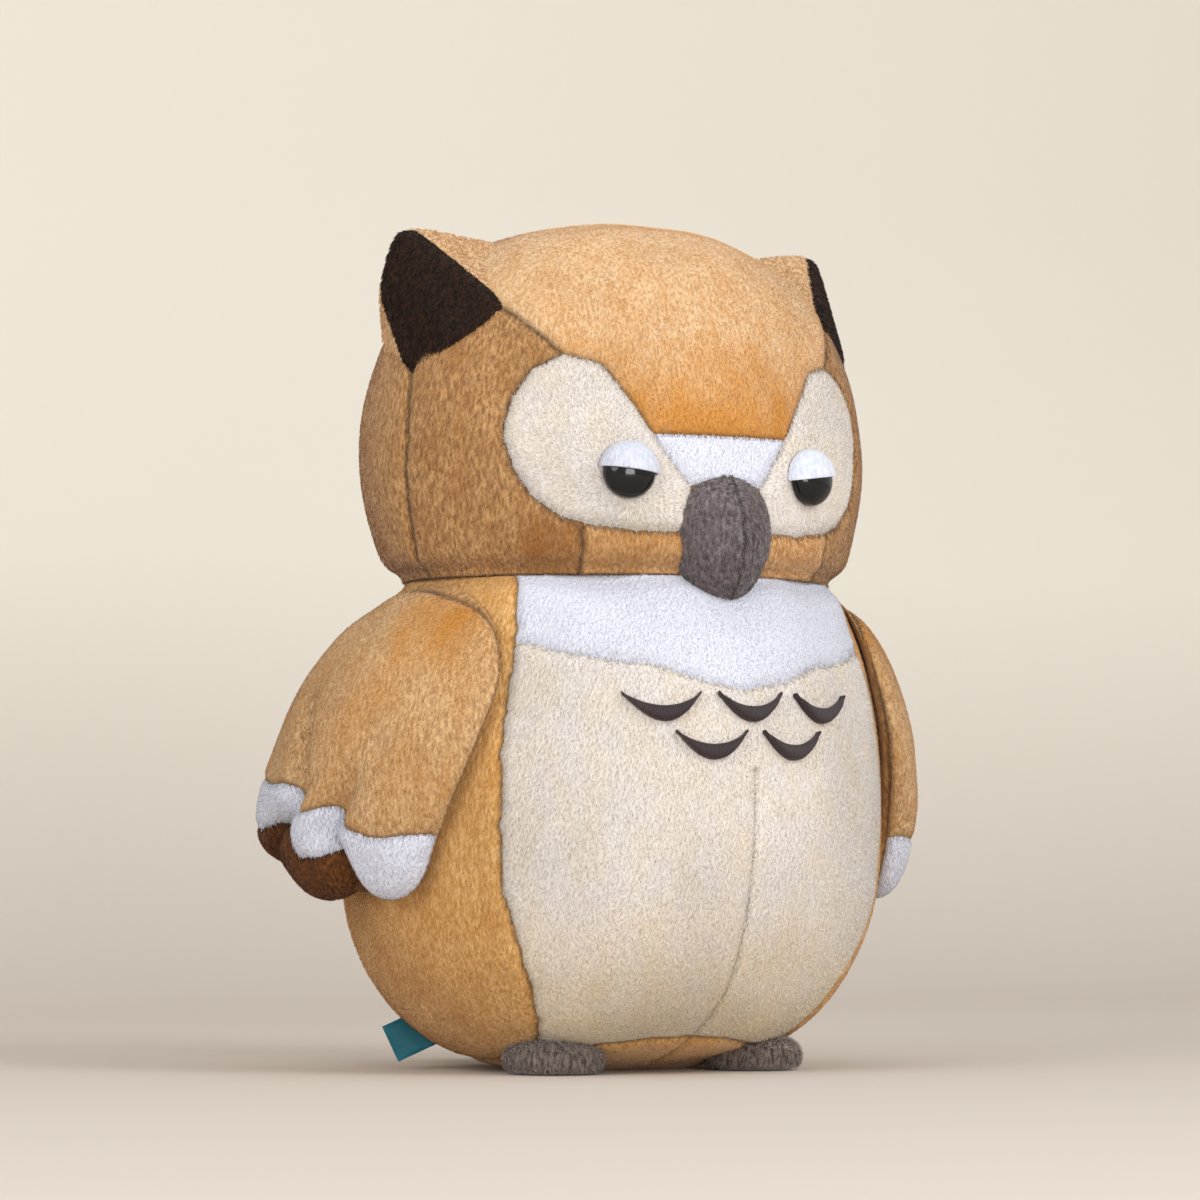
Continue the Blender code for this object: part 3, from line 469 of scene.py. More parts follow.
def nap_group():
    """Plush colour: brushed streaks, mottling where the pile leans over, and painted shade at the roots of the tufts
    and along the seams and creases.
    """
    tree = bpy.data.node_groups.new("plush_nap", "ShaderNodeTree")
    add_sockets(tree, "INPUT", "Color", ["Pale", "Deep", "Rich"])
    add_sockets(tree, "INPUT", "Float", ["Root Shade", "Mottle", "Seam Shade"])
    add_sockets(tree, "OUTPUT", "Color", ["Color"])
    add_sockets(tree, "OUTPUT", "Float", ["Height"])
    given = tree.nodes.new("NodeGroupInput").outputs

    def stored(name):
        return wired(tree, "ShaderNodeAttribute", {}, "Fac", attribute_name=name)

    streak = ranged(tree, cloud(tree, 720, 3, (1, 1, 0.34)), 0.34, 0.66)
    patch = ranged(tree, cloud(tree, 75, 3, (1, 1, 0.6)), 0.40, 0.70, 0.0, 0.4)
    large = ranged(tree, cloud(tree, 26, 2, (1, 1, 0.7)), 0.48, 0.68)
    patch = worked(tree, "ADD", patch, worked(tree, "MULTIPLY", large, given["Mottle"]))
    patch = worked(tree, "ADD", patch, stored("rich"))
    colour = joined(tree, "MIX", streak, given["Deep"], given["Pale"])
    colour = joined(tree, "MIX", patch, colour, given["Rich"])
    # Painted shade: darker within two millimetres of a seam, a dart or a crease, as deep as Seam Shade says.
    seam_painted_shade = ranged(tree, stored("seam"), 0.0003, 0.0018, given["Seam Shade"], 1.0)
    colour = joined(tree, "MULTIPLY", 1.0, colour, seam_painted_shade)
    broad = ranged(tree, cloud(tree, 14, 2, (1, 1, 1)), 0.35, 0.65, 0.92, 1.08)
    colour = wired(tree, "ShaderNodeHueSaturation", {"Color": colour, "Value": broad})
    # Painted shade at the roots of the tufts, lighter towards their tips; on the feet the dark roots are also the
    # pile's own frosted colour.
    grey = ranged(tree, stored("tip"), 0, 1, given["Root Shade"], 1.10)
    each = ranged(tree, stored("tone"), 0, 1, 0.95, 1.05)
    colour = joined(tree, "MULTIPLY", 1.0, joined(tree, "MULTIPLY", 1.0, colour, grey), each)
    feed(tree, tree.nodes.new("NodeGroupOutput"), {"Color": colour, "Height": streak})
    return tree


plush_nap = nap_group()


def raise_surface(tree, surface, height, distance, strength):
    """Gives the surface the fine relief of this height."""
    relief = wired(tree, "ShaderNodeBump", {"Height": height, "Distance": distance, "Strength": strength})
    feed(tree, surface, {"Normal": relief})


def plush(name, pale, deep, rich, root=0.92, sheen=0.25, bump=0.0005, mottle=0.0, seam=0.45):
    """Short-pile cloth, from the screen colours of its pale and deep streaks and of its warm patches. Root and seam
    say how dark the painted shade is at the roots of its tufts and along its seams.
    """
    made, tree, surface = new_material(name, {
        "Roughness": 0.85, "Specular IOR Level": 0.25, "Sheen Weight": sheen, "Sheen Roughness": 0.45})
    colour = wired(tree, "ShaderNodeGroup", {
        "Pale": linear(pale), "Deep": linear(deep), "Rich": linear(rich),
        "Root Shade": root, "Mottle": mottle, "Seam Shade": seam}, "Color", node_tree=plush_nap)
    feed(tree, surface, {"Base Color": colour})
    raise_surface(tree, surface, colour.node.outputs["Height"], bump, 0.5)
    return made


crown_plush = plush("crown_plush", "e6c69c", "cfa270", "c98b3f", root=0.95)
cheek_plush = plush("cheek_plush", "c69a67", "926739", "945f28", mottle=0.6)
# The chin's plush is the side plush of the cheeks, painted lighter: painted light, for the light that the white bib
# below throws up onto it.
chin_painted_light = plush("chin_painted_light", "e2b581", "b3824f", "b47c3b", mottle=0.4)
cream_plush = plush("cream_plush", "ddd6d0", "d1c9c2", "d8c7aa", root=0.97, seam=0.8)
white_plush = plush("white_plush", "d9dbe6", "d0d2df", "d5d7e2", root=0.97, seam=0.85)

head_rows = [
    (1.00, 0.00, 0.00, 0.00), (0.99, 0.27, 0.28, 0.30), (0.945, 0.56, 0.58, 0.60), (0.85, 0.80, 0.82, 0.82),
    (0.70, 0.95, 0.96, 0.95), (0.54, 1.02, 1.02, 1.01), (0.38, 1.01, 1.04, 0.97), (0.24, 0.94, 1.04, 0.84),
    (0.10, 0.82, 0.93, 0.68), (0.02, 0.45, 0.55, 0.42), (0.00, 0.00, 0.00, 0.00),
]
head_names = ["crown_panel", "head_back_right", "head_back_left", "cheek_right", "cheek_left", "chin_panel",
              "eye_patch_right", "eye_patch_left", "brow_bridge"]
head_size = (0.108, 0.095, 0.086, 0.164, 0.350)
head_form = stuffed_form("head_form", head_rows, 14, head_size, form_levels)
head_owner = nearest_node(head_form, head_names)
ripple(head_form, 0.0010, 0.030, 1.0)
sink_seams(head_form, head_owner, 0.0017, 0.0026, 0.0044)


def press(mesh, low, high=1.0):
    """Presses the mesh flat under the low height and over the high one."""
    points = points_of(mesh)
    points[:, 2] = np.clip(points[:, 2], low, high)
    put_points(mesh, points)


def tuck_in(mesh, side):
    """Turns what lies beyond the neck seam in under the piece, as its seam allowance."""
    points = points_of(mesh)
    beyond = (points[:, 2] - neck) * side < 0
    points[beyond, 2] = neck + side * allowance
    put_points(mesh, points)


tuck_in(head_form, 1)
head_surface = surface_of(head_form)
head_parts = parts_of(head_form, head_owner, head_names,
                      lambda c: (c[:, 2] > neck + 0.0006) | (np.hypot(c[:, 0], c[:, 1]) > head_neck_hole))
head_finish = {"crown_panel": (crown_plush, "crown_plush"), "chin_panel": (chin_painted_light, "side_plush"),
               "eye_patch_right": (cream_plush, "cream_plush"), "eye_patch_left": (cream_plush, "cream_plush"),
               "brow_bridge": (white_plush, "white_plush")}


def over_crown(point):
    """Over the crown the pile lies forwards and down to the face."""
    return (0, -0.8, -0.6)


def over_brow(point):
    """The crown's pile is warmer in colour where it meets the brow."""
    return min(0.9, max(0, (0.300 - point[2]) / 0.045)) * (point[1] < 0)


def fan_out(point):
    """On the eye patches the pile fans out from the eye."""
    return (point[0] - math.copysign(0.042, point[0]), 0, point[2] - 0.232)


def stand_in(made, node, body, slot):
    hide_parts(node)
    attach(made, body)


def soft_piece(skin, node, body, slot):
    stand_in(skin, node, body, slot)


def sew_panels(parts, finishes, plain, ways, warm, density, middle, seed):
    """Gives each panel its pile. Pale plush is fringed over its seams, and white plush is clipped shorter."""
    for number, (name, mesh) in enumerate(parts.items()):
        finish, slot = finishes.get(name, (plain, "side_plush"))
        pale = finish in (cream_plush, white_plush)
        comb(mesh, ways.get(name, down), warm.get(name), pale_fringe if pale else 0.0)
        wrap_map(mesh, middle)
        skin = piled(name + "_plush", mesh, finish, density.get(name, density["others"]),
                     length=clipped_pile if finish == white_plush else plain_pile, seed=seed + number)
        soft_piece(skin, name, "owl", slot)


sew_panels(
    head_parts, head_finish, cheek_plush,
    ways={"crown_panel": over_crown, "eye_patch_right": fan_out, "eye_patch_left": fan_out},
    warm={"crown_panel": over_brow},
    density={"head_back_right": 0.65, "head_back_left": 0.65, "others": 1.2}, middle=(0, 0, 0.265), seed=10,
)

fibre, tree, surface = new_material("fibre_fill", {"Roughness": 1.0})
lumps = ranged(tree, cloud(tree, 260, 4, (1, 1, 1)), 0.3, 0.7)
feed(tree, surface, {"Base Color": joined(tree, "MIX", lumps, (0.62, 0.61, 0.58, 1), (0.90, 0.90, 0.88, 1))})


def fill_of(node, rows, size, low, high):
    """The loose fill under a skin: a closed form drawn in by the cloth, flat at its neck and seat."""
    drawn = [share + cloth * side for share, side in zip(size, (-1, -1, -1, 1, -1))]
    form = stuffed_form(node, rows, 14, drawn, 3)
    press(form, low, high)
    form.shade_smooth()
    soft_piece(placed(node + "_fibre", form, fibre), node, "owl", "fibre_fill")


fill_of("head_stuffing", head_rows, (0.1055, 0.0925, 0.0835, 0.164, 0.3475), neck + 0.007, 1)

# Eyes: domed plastic eyes on stems, held behind the cloth by lock washers, under half lids of knitted felt
# glued round their tops.

glossy = new_material("eye_plastic", {
    "Base Color": (0.004, 0.004, 0.0045, 1), "Roughness": 0.12, "Specular IOR Level": 0.3,
    "Coat Weight": 0.2, "Coat Roughness": 0.05})[0]
nylon, tree, surface = new_material("washer_plastic", {"Roughness": 0.4})
feed(tree, surface, {"Base Color": ranged(tree, cloud(tree, 300, 2, (1, 1, 1)), 0.3, 0.7, 0.60, 0.72)})
felt = plush("lid_felt", "e2e6f0", "c8cede", "d6dae5", root=0.9, sheen=0.2, bump=0.0006)


def seat_on(surface, start, direction):
    point, normal, _, _ = surface.ray_cast(Vector(start), Vector(direction))
    return point, normal


def standing(point, normal):
    """A matrix at the point whose local +Z is the normal and whose local +X stays level."""
    level = Vector((0, 0, 1)).cross(normal).normalized()
    return Matrix.Translation(point) @ Matrix((level, normal.cross(level), normal)).transposed().to_4x4()


def spun(profile, steps, closed_ring=False):
    """A solid of revolution about local Z. A profile that starts and ends on the axis closes by itself."""
    shape = bmesh.new()
    points = [shape.verts.new((radius, 0, height)) for radius, height in profile]
    loop = [shape.edges.new(ends) for ends in zip(points, points[1:] + points[:1] * closed_ring)]
    bmesh.ops.spin(shape, geom=points + loop, axis=(0, 0, 1), cent=(0, 0, 0), steps=steps, angle=math.tau)
    bmesh.ops.remove_doubles(shape, verts=shape.verts, dist=0.00001)
    bmesh.ops.recalc_face_normals(shape, faces=shape.faces)
    return shape


def arc(radius, height, rise):
    """A quarter of an oval, from the axis out to the rim."""
    turns = [math.pi / 2 * k / 12 for k in range(13)]
    return [(radius * math.sin(turn), rise + height * math.cos(turn)) for turn in turns]


def twins(name, shape, triangles=False):
    """The side, its sign and a mesh, first of the shape on the owl's right, then of its mirror image."""
    for side, sign in (("right", 1), ("left", -1)):
        copy = shape.copy()
        if sign < 0:
            bmesh.ops.scale(copy, vec=(-1, 1, 1), verts=copy.verts)
            bmesh.ops.reverse_faces(copy, faces=copy.faces)
        if triangles:
            bmesh.ops.triangulate(copy, faces=copy.faces)
        yield side, sign, mesh_from(f"{name}_{side}", copy)


def set_in_face(shape, name, node, material, slot):
    """Places a piece of the eye and its twin in the face, each for its CAD node."""
    bmesh.ops.transform(shape, matrix=eye_frame, verts=shape.verts)
    pair = []
    for side, _, mesh in twins(name, shape):
        made = placed(f"{name}_{side}", mesh, material)
        mesh.shade_smooth()
        mesh.set_sharp_from_angle(angle=math.radians(45))
        stand_in(made, f"{node}_{side}", "owl", slot)
        pair.append(made)
    return pair


eye_place, eye_normal = seat_on(head_surface, (-0.042, -0.155, 0.24005), (0, 1, 0))
eye_normal = Vector((-0.23, -0.965, 0.0)).lerp(eye_normal, 0.5).normalized()
eye_frame = standing(eye_place + eye_normal * 0.0012, eye_normal)
eye_radius, lid_inner, lid_outer = 0.0108, 0.0111, 0.0124
stem_radius, stem_length = 0.0024, 0.013
ball = spun(arc(eye_radius, 0.0070, 0.0008) + [(eye_radius, 0), (stem_radius, 0), (stem_radius, -stem_length),
                                               (0, -stem_length)], 48)
set_in_face(ball, "glossy_eye", "eye", glossy, "eye_plastic")
ring = spun([(0.0027, -0.0041), (0.0085, -0.0041), (0.0085, -0.0056), (0.0027, -0.0056)], 48, True)
set_in_face(ring, "lock_washer", "eye_washer", nylon, "washer_plastic")

lid = spun(arc(lid_outer, 0.0090, 0.0006) + [(lid_outer, -0.0006), (lid_inner, -0.0006)]
           + arc(lid_inner, 0.0075, 0.0006)[::-1], 64)
slope = Matrix.Rotation(math.radians(-7), 3, "Z")
bmesh.ops.bisect_plane(lid, geom=lid.verts[:] + lid.edges[:] + lid.faces[:], plane_co=(0, 0.0004, 0),
                       plane_no=slope @ Vector((0, 1, 0)), clear_inner=True)
bmesh.ops.contextual_create(lid, geom=[e for e in lid.edges if e.is_boundary])
bmesh.ops.recalc_face_normals(lid, faces=lid.faces)
bmesh.ops.bevel(lid, geom=[e for e in lid.edges if len(e.link_faces) == 2 and e.calc_face_angle() > 1.0],
                offset=0.0003, segments=2, profile=0.5, affect="EDGES", material=-1)
lids = set_in_face(lid, "felt_lid", "lid", felt, "lid_felt")
for side, sign, made in zip(("right", "left"), (1, -1), lids):
    comb(made.data, down)
    wrap_map(made.data, (sign * eye_place.x, eye_place.y + 0.01, eye_place.z))

# Beak: a small egg of grey-brown plush with a seam down its middle. It is stuffed firmly and sewn to the face,
# and its tip hangs over the bib.

beak_plush = plush("beak_plush", "867b7c", "4b4041", "665954", sheen=0.35)
beak_rows = [
    (1.00, 0.00, 0.00, 0.00), (0.98, 0.50, 0.35, 0.80), (0.82, 0.88, 0.78, 1.00), (0.58, 1.05, 1.05, 1.00),
    (0.32, 0.92, 1.02, 0.95), (0.10, 0.62, 0.72, 0.62), (0.01, 0.30, 0.34, 0.30), (0.00, 0.00, 0.00, 0.00),
]
beak_size = (0.0215, 0.020, 0.020, neck - 0.0105, neck + 0.0415)
beak_form = stuffed_form("beak_form", beak_rows, 12, beak_size, 4)
points = points_of(beak_form)
points[:, 1] -= 0.0865
ahead = np.clip((-0.088 - points[:, 1]) / 0.006, 0, 1)
ridge = 0.0016 * np.exp(-(points[:, 0] / 0.0030) ** 2) - 0.0018 * np.exp(-(points[:, 0] / 0.0009) ** 2)
points[:, 1] -= ridge * ahead
put_points(beak_form, points)
# Its distance from the seam down the front of the beak, by which the plush is painted with shade along the groove
# there.
put_values(beak_form, "seam", abs(points[:, 0]) + 0.01 * (1 - ahead) + 0.0003)
ripple(beak_form, 0.0005, 0.012, 3.0)
comb(beak_form, down)
wrap_map(beak_form, (0, -0.0865, 0.2155))
beak = piled("beak_pile", beak_form, beak_plush, 1.6, width=0.00022, lean=1.3, seed=31)
soft_piece(beak, "beak", "owl", "beak_plush")

# Ears: two flat plush corners, tan behind and dark brown in front. They are sewn together round the front,
# lightly stuffed and sewn to the crown.

dark_plush = plush("dark_plush", "38200f", "100703", "1e1008", sheen=0.04)


def soft_corner(cage_points, inset):
    """A pointed pillow over a few corners: a hull, rounded and drawn in slightly."""
    shape = bmesh.new()
    hull = [shape.verts.new(p) for p in cage_points]
    bmesh.ops.convex_hull(shape, input=hull)
    bmesh.ops.dissolve_limit(shape, angle_limit=0.02, verts=shape.verts[:], edges=shape.edges[:])
    bmesh.ops.bevel(shape, geom=shape.edges[:], offset=inset, offset_type="OFFSET", segments=3, profile=0.5,
                    affect="EDGES", material=-1, clamp_overlap=True)
    bmesh.ops.triangulate(shape, faces=shape.faces)
    for _ in range(3):
        long_edges = [e for e in shape.edges if e.calc_length() > 0.003]
        bmesh.ops.subdivide_edges(shape, edges=long_edges, cuts=1)
        bmesh.ops.triangulate(shape, faces=shape.faces)
    for _ in range(4):
        bmesh.ops.smooth_vert(shape, verts=shape.verts, factor=0.5, use_axis_x=True, use_axis_y=True, use_axis_z=True)
    bmesh.ops.recalc_face_normals(shape, faces=shape.faces)
    return shape


def head_point(x, y, z):
    """A place in the head's own shares: of its half width, its front depth and its height over the neck."""
    return Vector((x * head_size[0], y * head_size[1], neck + z * (head_size[4] - neck)))


ear_tip = head_point(-0.925, 0.01, 0.975)
ear_corners = [head_point(*shares) for shares in (
    (-0.694, -0.521, 0.707), (-0.938, -0.182, 0.527), (-0.985, 0.02, 0.79), (-0.955, 0.11, 0.79),
    (-0.450, -0.100, 0.920), (-0.907, 0.168, 0.600), (-0.556, 0.190, 0.787))]
facing = (ear_corners[0] - ear_tip).cross(ear_corners[1] - ear_tip).normalized()
facing = -facing if facing.y > 0 else facing
ridge_foot, _ = seat_on(head_surface, (ear_corners[0] + ear_corners[1]) / 2 + facing * 0.04, -facing)
ear_shape = soft_corner([ear_tip + facing * 0.001, ridge_foot + facing * 0.002] + ear_corners, 0.0024)


def half_of(shape, behind):
    """The part of the ear in front of a plane just behind its face, or the part behind it."""
    copy = shape.copy()
    plane = ear_tip - facing * 0.0032
    cut = bmesh.ops.bisect_plane(copy, geom=copy.verts[:] + copy.edges[:] + copy.faces[:], plane_co=plane,
                                 plane_no=facing, clear_outer=behind, clear_inner=not behind)
    rim = [part for part in cut["geom_cut"] if isinstance(part, bmesh.types.BMEdge)]
    bmesh.ops.contextual_create(copy, geom=rim)
    bmesh.ops.recalc_face_normals(copy, faces=copy.faces)
    return copy


for part, node, finish, slot in (
    (half_of(ear_shape, True), "ear", crown_plush, "crown_plush"),
    (half_of(ear_shape, False), "ear_front", dark_plush, "dark_plush"),
):
    for side, sign, mesh in twins(node, part, triangles=True):
        comb(mesh, down)
        wrap_map(mesh, (sign * -0.085, -0.01, 0.31))
        skin = piled(f"{node}_{side}_plush", mesh, finish, 1.1, length=0.0020, width=0.00026, seed=41 + sign)
        soft_piece(skin, f"{node}_{side}", "owl", slot)

# Body: bib, belly, two sides, back and base, sewn like the head over loose fill. The belly has a dart that
# rounds it, and the base is flat where the owl sits.

body_rows = [
    (1.00, 0.00, 0.00, 0.00), (0.98, 0.50, 0.45, 0.38), (0.90, 0.80, 0.70, 0.52), (0.76, 0.93, 0.88, 0.74),
    (0.60, 1.00, 0.98, 0.88), (0.44, 1.02, 1.01, 1.00), (0.28, 1.00, 0.96, 1.05), (0.14, 0.88, 0.83, 0.94),
    (0.04, 0.68, 0.54, 0.74), (0.00, 0.38, 0.10, 0.50), (0.00, 0.00, 0.00, 0.00),
]
body_names = ["bib", "belly_panel", "side_panel_right", "side_panel_left", "back_panel", "base_panel"]
body_size = (0.1105, 0.116, 0.117, -0.0005, 0.236)
body_form = stuffed_form("body_form", body_rows, 14, body_size, form_levels)
body_owner = nearest_node(body_form, body_names)
ripple(body_form, 0.0011, 0.034, 2.0)
sink_seams(body_form, body_owner, 0.0016, 0.0026, 0.0028, 0.123)
points = points_of(body_form)
under_neck = (points[:, 1] < -0.03) * np.clip((points[:, 2] - 0.178) / 0.016, 0, 1)
folds = 0.0012 * np.cos(points[:, 0] / 0.0075) * under_neck
put_points(body_form, points - normals_of(body_form) * folds[:, None])
press(body_form, 0)
tuck_in(body_form, -1)
body_surface = surface_of(body_form)
body_parts = parts_of(body_form, body_owner, body_names,
                      lambda c: (c[:, 2] < neck - 0.0006) | (np.hypot(c[:, 0], c[:, 1]) > body_neck_hole))
flank_plush = plush("flank_plush", "e4b678", "c18e48", "bd8138", mottle=0.4)
body_finish = {"bib": (white_plush, "white_plush"), "belly_panel": (cream_plush, "cream_plush")}


def low_belly(point):
    """The belly is warmer in colour towards the seat."""
    return 0.9 * min(1, max(0, (0.075 - point[2]) / 0.065))


sew_panels(
    body_parts, body_finish, flank_plush, ways={}, warm={"belly_panel": low_belly},
    density={"bib": 1.35, "belly_panel": 1.15, "back_panel": 0.6, "base_panel": 0.3, "others": 0.95},
    middle=(0, 0, 0.10), seed=20,
)
fill_of("body_stuffing", body_rows, (0.108, 0.1135, 0.1145, -0.0005, 0.236), 0.0034, neck - 0.007)

# Embroidered crescents: satin stitch in dark thread, in rows of three and two. They are sewn through the cream
# cloth of the belly before it is stuffed.

thread, tree, surface = new_material("dark_thread", {"Roughness": 0.45})
run = wired(tree, "ShaderNodeUVMap", {}, uv_map="OFBake")
lines = wired(tree, "ShaderNodeTexWave", {"Vector": run, "Scale": 14, "Distortion": 1.5}, "Fac")
feed(tree, surface, {"Base Color": joined(tree, "MIX", lines, linear("241818"), linear("46363a"))})
raise_surface(tree, surface, lines, 0.0004, 1.0)

crescent_half_length, crescent_sag, crescent_half_width, least_half_width = 0.0144, 0.0081, 0.0030, 0.0006
for name, x, z in (
    ("crescent_upper_right", -0.0365, 0.1516), ("crescent_upper_middle", 0, 0.1516),
    ("crescent_upper_left", 0.0365, 0.1516), ("crescent_lower_right", -0.01845, 0.1366),
    ("crescent_lower_left", 0.01845, 0.1366),
):
    shape = bmesh.new()
    bmesh.ops.create_grid(shape, x_segments=40, y_segments=10, size=1)
    layer = shape.loops.layers.uv.new("OFBake")
    for face in shape.faces:
        for loop in face.loops:
            loop[layer].uv = ((loop.vert.co.x + 1) / 2, (loop.vert.co.y + 1) / 2)
    pushed = bmesh.ops.extrude_face_region(shape, geom=shape.faces[:])
    under = {part for part in pushed["geom"] if isinstance(part, bmesh.types.BMVert)}
    for vert in shape.verts:
        along, over = vert.co.x, vert.co.y
        arch = 1 - along ** 2
        half = max(crescent_half_width * arch, least_half_width)
        height = z - crescent_sag * arch + over * half
        point, normal = seat_on(body_surface, (x + along * crescent_half_length, -0.18, height), (0, 1, 0))
        raised = 0.0022 + 0.0016 * math.sqrt(max(0, 1 - over ** 2)) * min(1, half / 0.0012)
        vert.co = point + normal * (0.0003 if vert in under else raised)
    bmesh.ops.recalc_face_normals(shape, faces=shape.faces)
    stitch = placed(name + "_satin", mesh_from(name, shape), thread)
    stitch.data.shade_smooth()
    stand_in(stitch, name, "owl", "dark_thread")

# Feet: two low pads of grey plush with a longer, rougher pile. They are stuffed firmly and sewn under the front
# of the body, flat on the table.

foot_plush = plush("foot_plush", "bba99d", "4c3c34", "6d5a4e", root=0.6, sheen=0.3)
foot_rows = [
    (1.00, 0.00, 0.00, 0.00), (0.99, 0.66, 0.66, 0.66), (0.74, 1.00, 1.00, 1.00), (0.30, 1.03, 1.03, 1.03),
    (0.01, 0.84, 0.84, 0.84), (0.00, 0.00, 0.00, 0.00),
]
for side, sign in (("right", -1), ("left", 1)):
    foot = stuffed_form("foot", foot_rows, 12, (0.0195, 0.0205, 0.0205, -0.0005, 0.0140), 4)
    put_points(foot, points_of(foot) + (sign * 0.425 * body_size[0], -0.31 * body_size[1], 0))
    press(foot, 0)
    ripple(foot, 0.0005, 0.014, 5.0 + sign)
    press(foot, 0)
    comb(foot, down)
    wrap_map(foot, (sign * 0.047, -0.036, 0.006))
    skin = piled(f"foot_{side}_plush", foot, foot_plush, 1.6, length=0.0022, width=0.00020, lean=1.0, stray=0.5,
                 seed=50 + sign)
    soft_piece(skin, "foot_" + side, "owl", "foot_plush")

# Wings: plush covers over three stuffed lobes, with white bands and brown tips sewn on below, and a lining that
# lies on the body. Each wing is attached to a body of its own.

tip_plush = plush("tip_plush", "7e4b1f", "40220a", "5c3412", sheen=0.06)
wing_rows = [
    (1.00, 70, 90, 0.16), (0.93, 58, 103, 0.40), (0.79, 52, 121, 0.70), (0.61, 53, 131, 0.88),
    (0.42, 58, 136, 1.02), (0.22, 64, 138, 1.16), (0.00, 68, 138, 0.90),
]
wing_columns = [
    (0.00, 0.36, 0.12), (0.12, 0.60, 0.01), (0.29, 0.72, 0.10), (0.43, 0.94, 0.00), (0.57, 0.88, 0.14),
    (0.79, 1.12, 0.10), (1.00, 0.60, 0.22),
]
wing_foot, wing_height, wing_depth, wing_gap = 0.064, 0.132, 0.034, 0.0024
plain_surface = surface_of(stuffed_form("plain_body", body_rows, 14, body_size, 3))


def wing_form(inset, levels):
    """The wing's closed form: two skins over a grid of lobes, set round the side of the body."""
    cage = bmesh.new()
    rows, columns = len(wing_rows) - 1, len(wing_columns) - 1
    bmesh.ops.create_grid(cage, x_segments=columns, y_segments=rows, size=1)
    pushed = bmesh.ops.extrude_face_region(cage, geom=cage.faces[:])
    outer = {part for part in pushed["geom"] if isinstance(part, bmesh.types.BMVert)}
    bmesh.ops.translate(cage, vec=(0, 0, 1), verts=list(outer))
    bmesh.ops.recalc_face_normals(cage, faces=cage.faces)
    for vert in cage.verts:
        rise, front, rear, row_full = wing_rows[round((1 - vert.co.y) / 2 * rows)]
        place, column_full, drawn_up = wing_columns[round((vert.co.x + 1) / 2 * columns)]
        turn = math.degrees(inset / body_size[0])
        angle = math.radians(front + turn + (rear - front - 2 * turn) * place)
        height = wing_foot + inset + (wing_height - 2 * inset) * (rise + drawn_up * (1 - rise) ** 2)
        full = wing_depth * row_full * column_full
        half = max((full - wing_gap) / 2 - inset, 0.0003)
        out = Vector((-math.sin(angle), -math.cos(angle), 0))
        point, _ = seat_on(plain_surface, Vector((0, 0, height)) + out * 0.17, -out)
        middle = (full + wing_gap) / 2
        vert.co = point + out * (middle + half if vert in outer else middle - half)
    if cage.calc_volume(signed=True) < 0:
        bmesh.ops.reverse_faces(cage, faces=cage.faces)
    return smoothed("wing", cage, levels)


wing_names = ["wing_cover_right", "wing_band_right", "wing_tips_right", "wing_lining_right"]
wing_skin = wing_form(0, form_levels - 1)
middles = np.array([face.center for face in wing_skin.polygons])
depth_share, height_share = middles[:, 1] / body_size[2], (middles[:, 2] - wing_foot) / wing_height
white_top = np.interp(depth_share, (-0.8, -0.26, -0.12, -0.10, 0.10, 0.14, 0.51, 0.81, 1.2),
                      (0.250, 0.235, 0.275, 0.330, 0.310, 0.400, 0.417, 0.475, 0.540))
brown_top = np.interp(depth_share, (-0.8, -0.12, -0.10, 0.10, 0.14, 0.51, 0.81, 1.2),
                      (-0.20, -0.20, 0.185, 0.165, 0.280, 0.265, 0.303, 0.350))
off_body = np.array([plain_surface.find_nearest(middle)[3] for middle in middles])
wing_owner = np.where(off_body < 0.0045, 3, np.where(height_share < brown_top, 2, height_share < white_top))


def draw_creases(mesh):
    """Draws the outside of the wing in along the two creases between its lobes. They give angle and height."""
    points, outward = points_of(mesh), normals_of(mesh)
    reach = 0.0022
    turned = np.stack([np.degrees(np.arctan2(-points[:, 0], -points[:, 1])) * reach, points[:, 2]], axis=1)
    outside = (outward * points * (1, 1, 0)).sum(axis=1) > 0
    nearest = np.full(len(points), 0.02)
    for crease in (
        [(80, 0.121), (84, 0.108), (87, 0.096), (86, 0.086), (85, 0.070)],
        [(98.6, 0.152), (96, 0.135), (94, 0.116), (98, 0.105), (104.6, 0.097), (120, 0.080)],
    ):
        near = np.full(len(points), 1.0)
        for (angle, low), (next_angle, high) in zip(crease, crease[1:]):
            along = np.array(((next_angle - angle) * reach, high - low))
            offset = turned - np.array((angle * reach, low))
            place = np.clip((offset @ along) / (along @ along), 0, 1)
            near = np.minimum(near, np.linalg.norm(offset - place[:, None] * along, axis=1))
        fade = np.clip((crease[0][1] + 0.006 - points[:, 2]) / 0.022, 0, 1)
        points -= outward * (0.0078 * np.exp(-(near / 0.0058) ** 2) * fade * outside)[:, None]
        nearest = np.minimum(nearest, near + 0.02 * (1 - fade * outside))
    put_points(mesh, points)
    return nearest


crease_distance = draw_creases(wing_skin)
ripple(wing_skin, 0.0009, 0.020, 7.0)
sink_seams(wing_skin, wing_owner, 0.0012, 0.0022)
# The creases count as seams here, so the plush is painted with shade along them.
put_values(wing_skin, "seam", np.minimum(values_of(wing_skin, "seam"), crease_distance + 0.0005))


def shoulder(point):
    """The cover is warmer in colour at the front of its shoulder."""
    return 0.8 * max(0, 1 - math.hypot((point[1] + 0.045) / 0.030, (point[2] - 0.185) / 0.030))


cover_plush = plush("cover_plush", "dfba88", "b58a5c", "be8232", mottle=0.2)
wing_finish = {"wing_cover": (cover_plush, "crown_plush"), "wing_band": (white_plush, "white_plush"),
               "wing_tips": (tip_plush, "tip_plush"), "wing_lining": (cheek_plush, "side_plush")}
wing_parts = parts_of(wing_skin, wing_owner, wing_names)


def wing_twins(name, mesh):
    shape = bmesh.new()
    shape.from_mesh(mesh)
    return twins(name, shape)


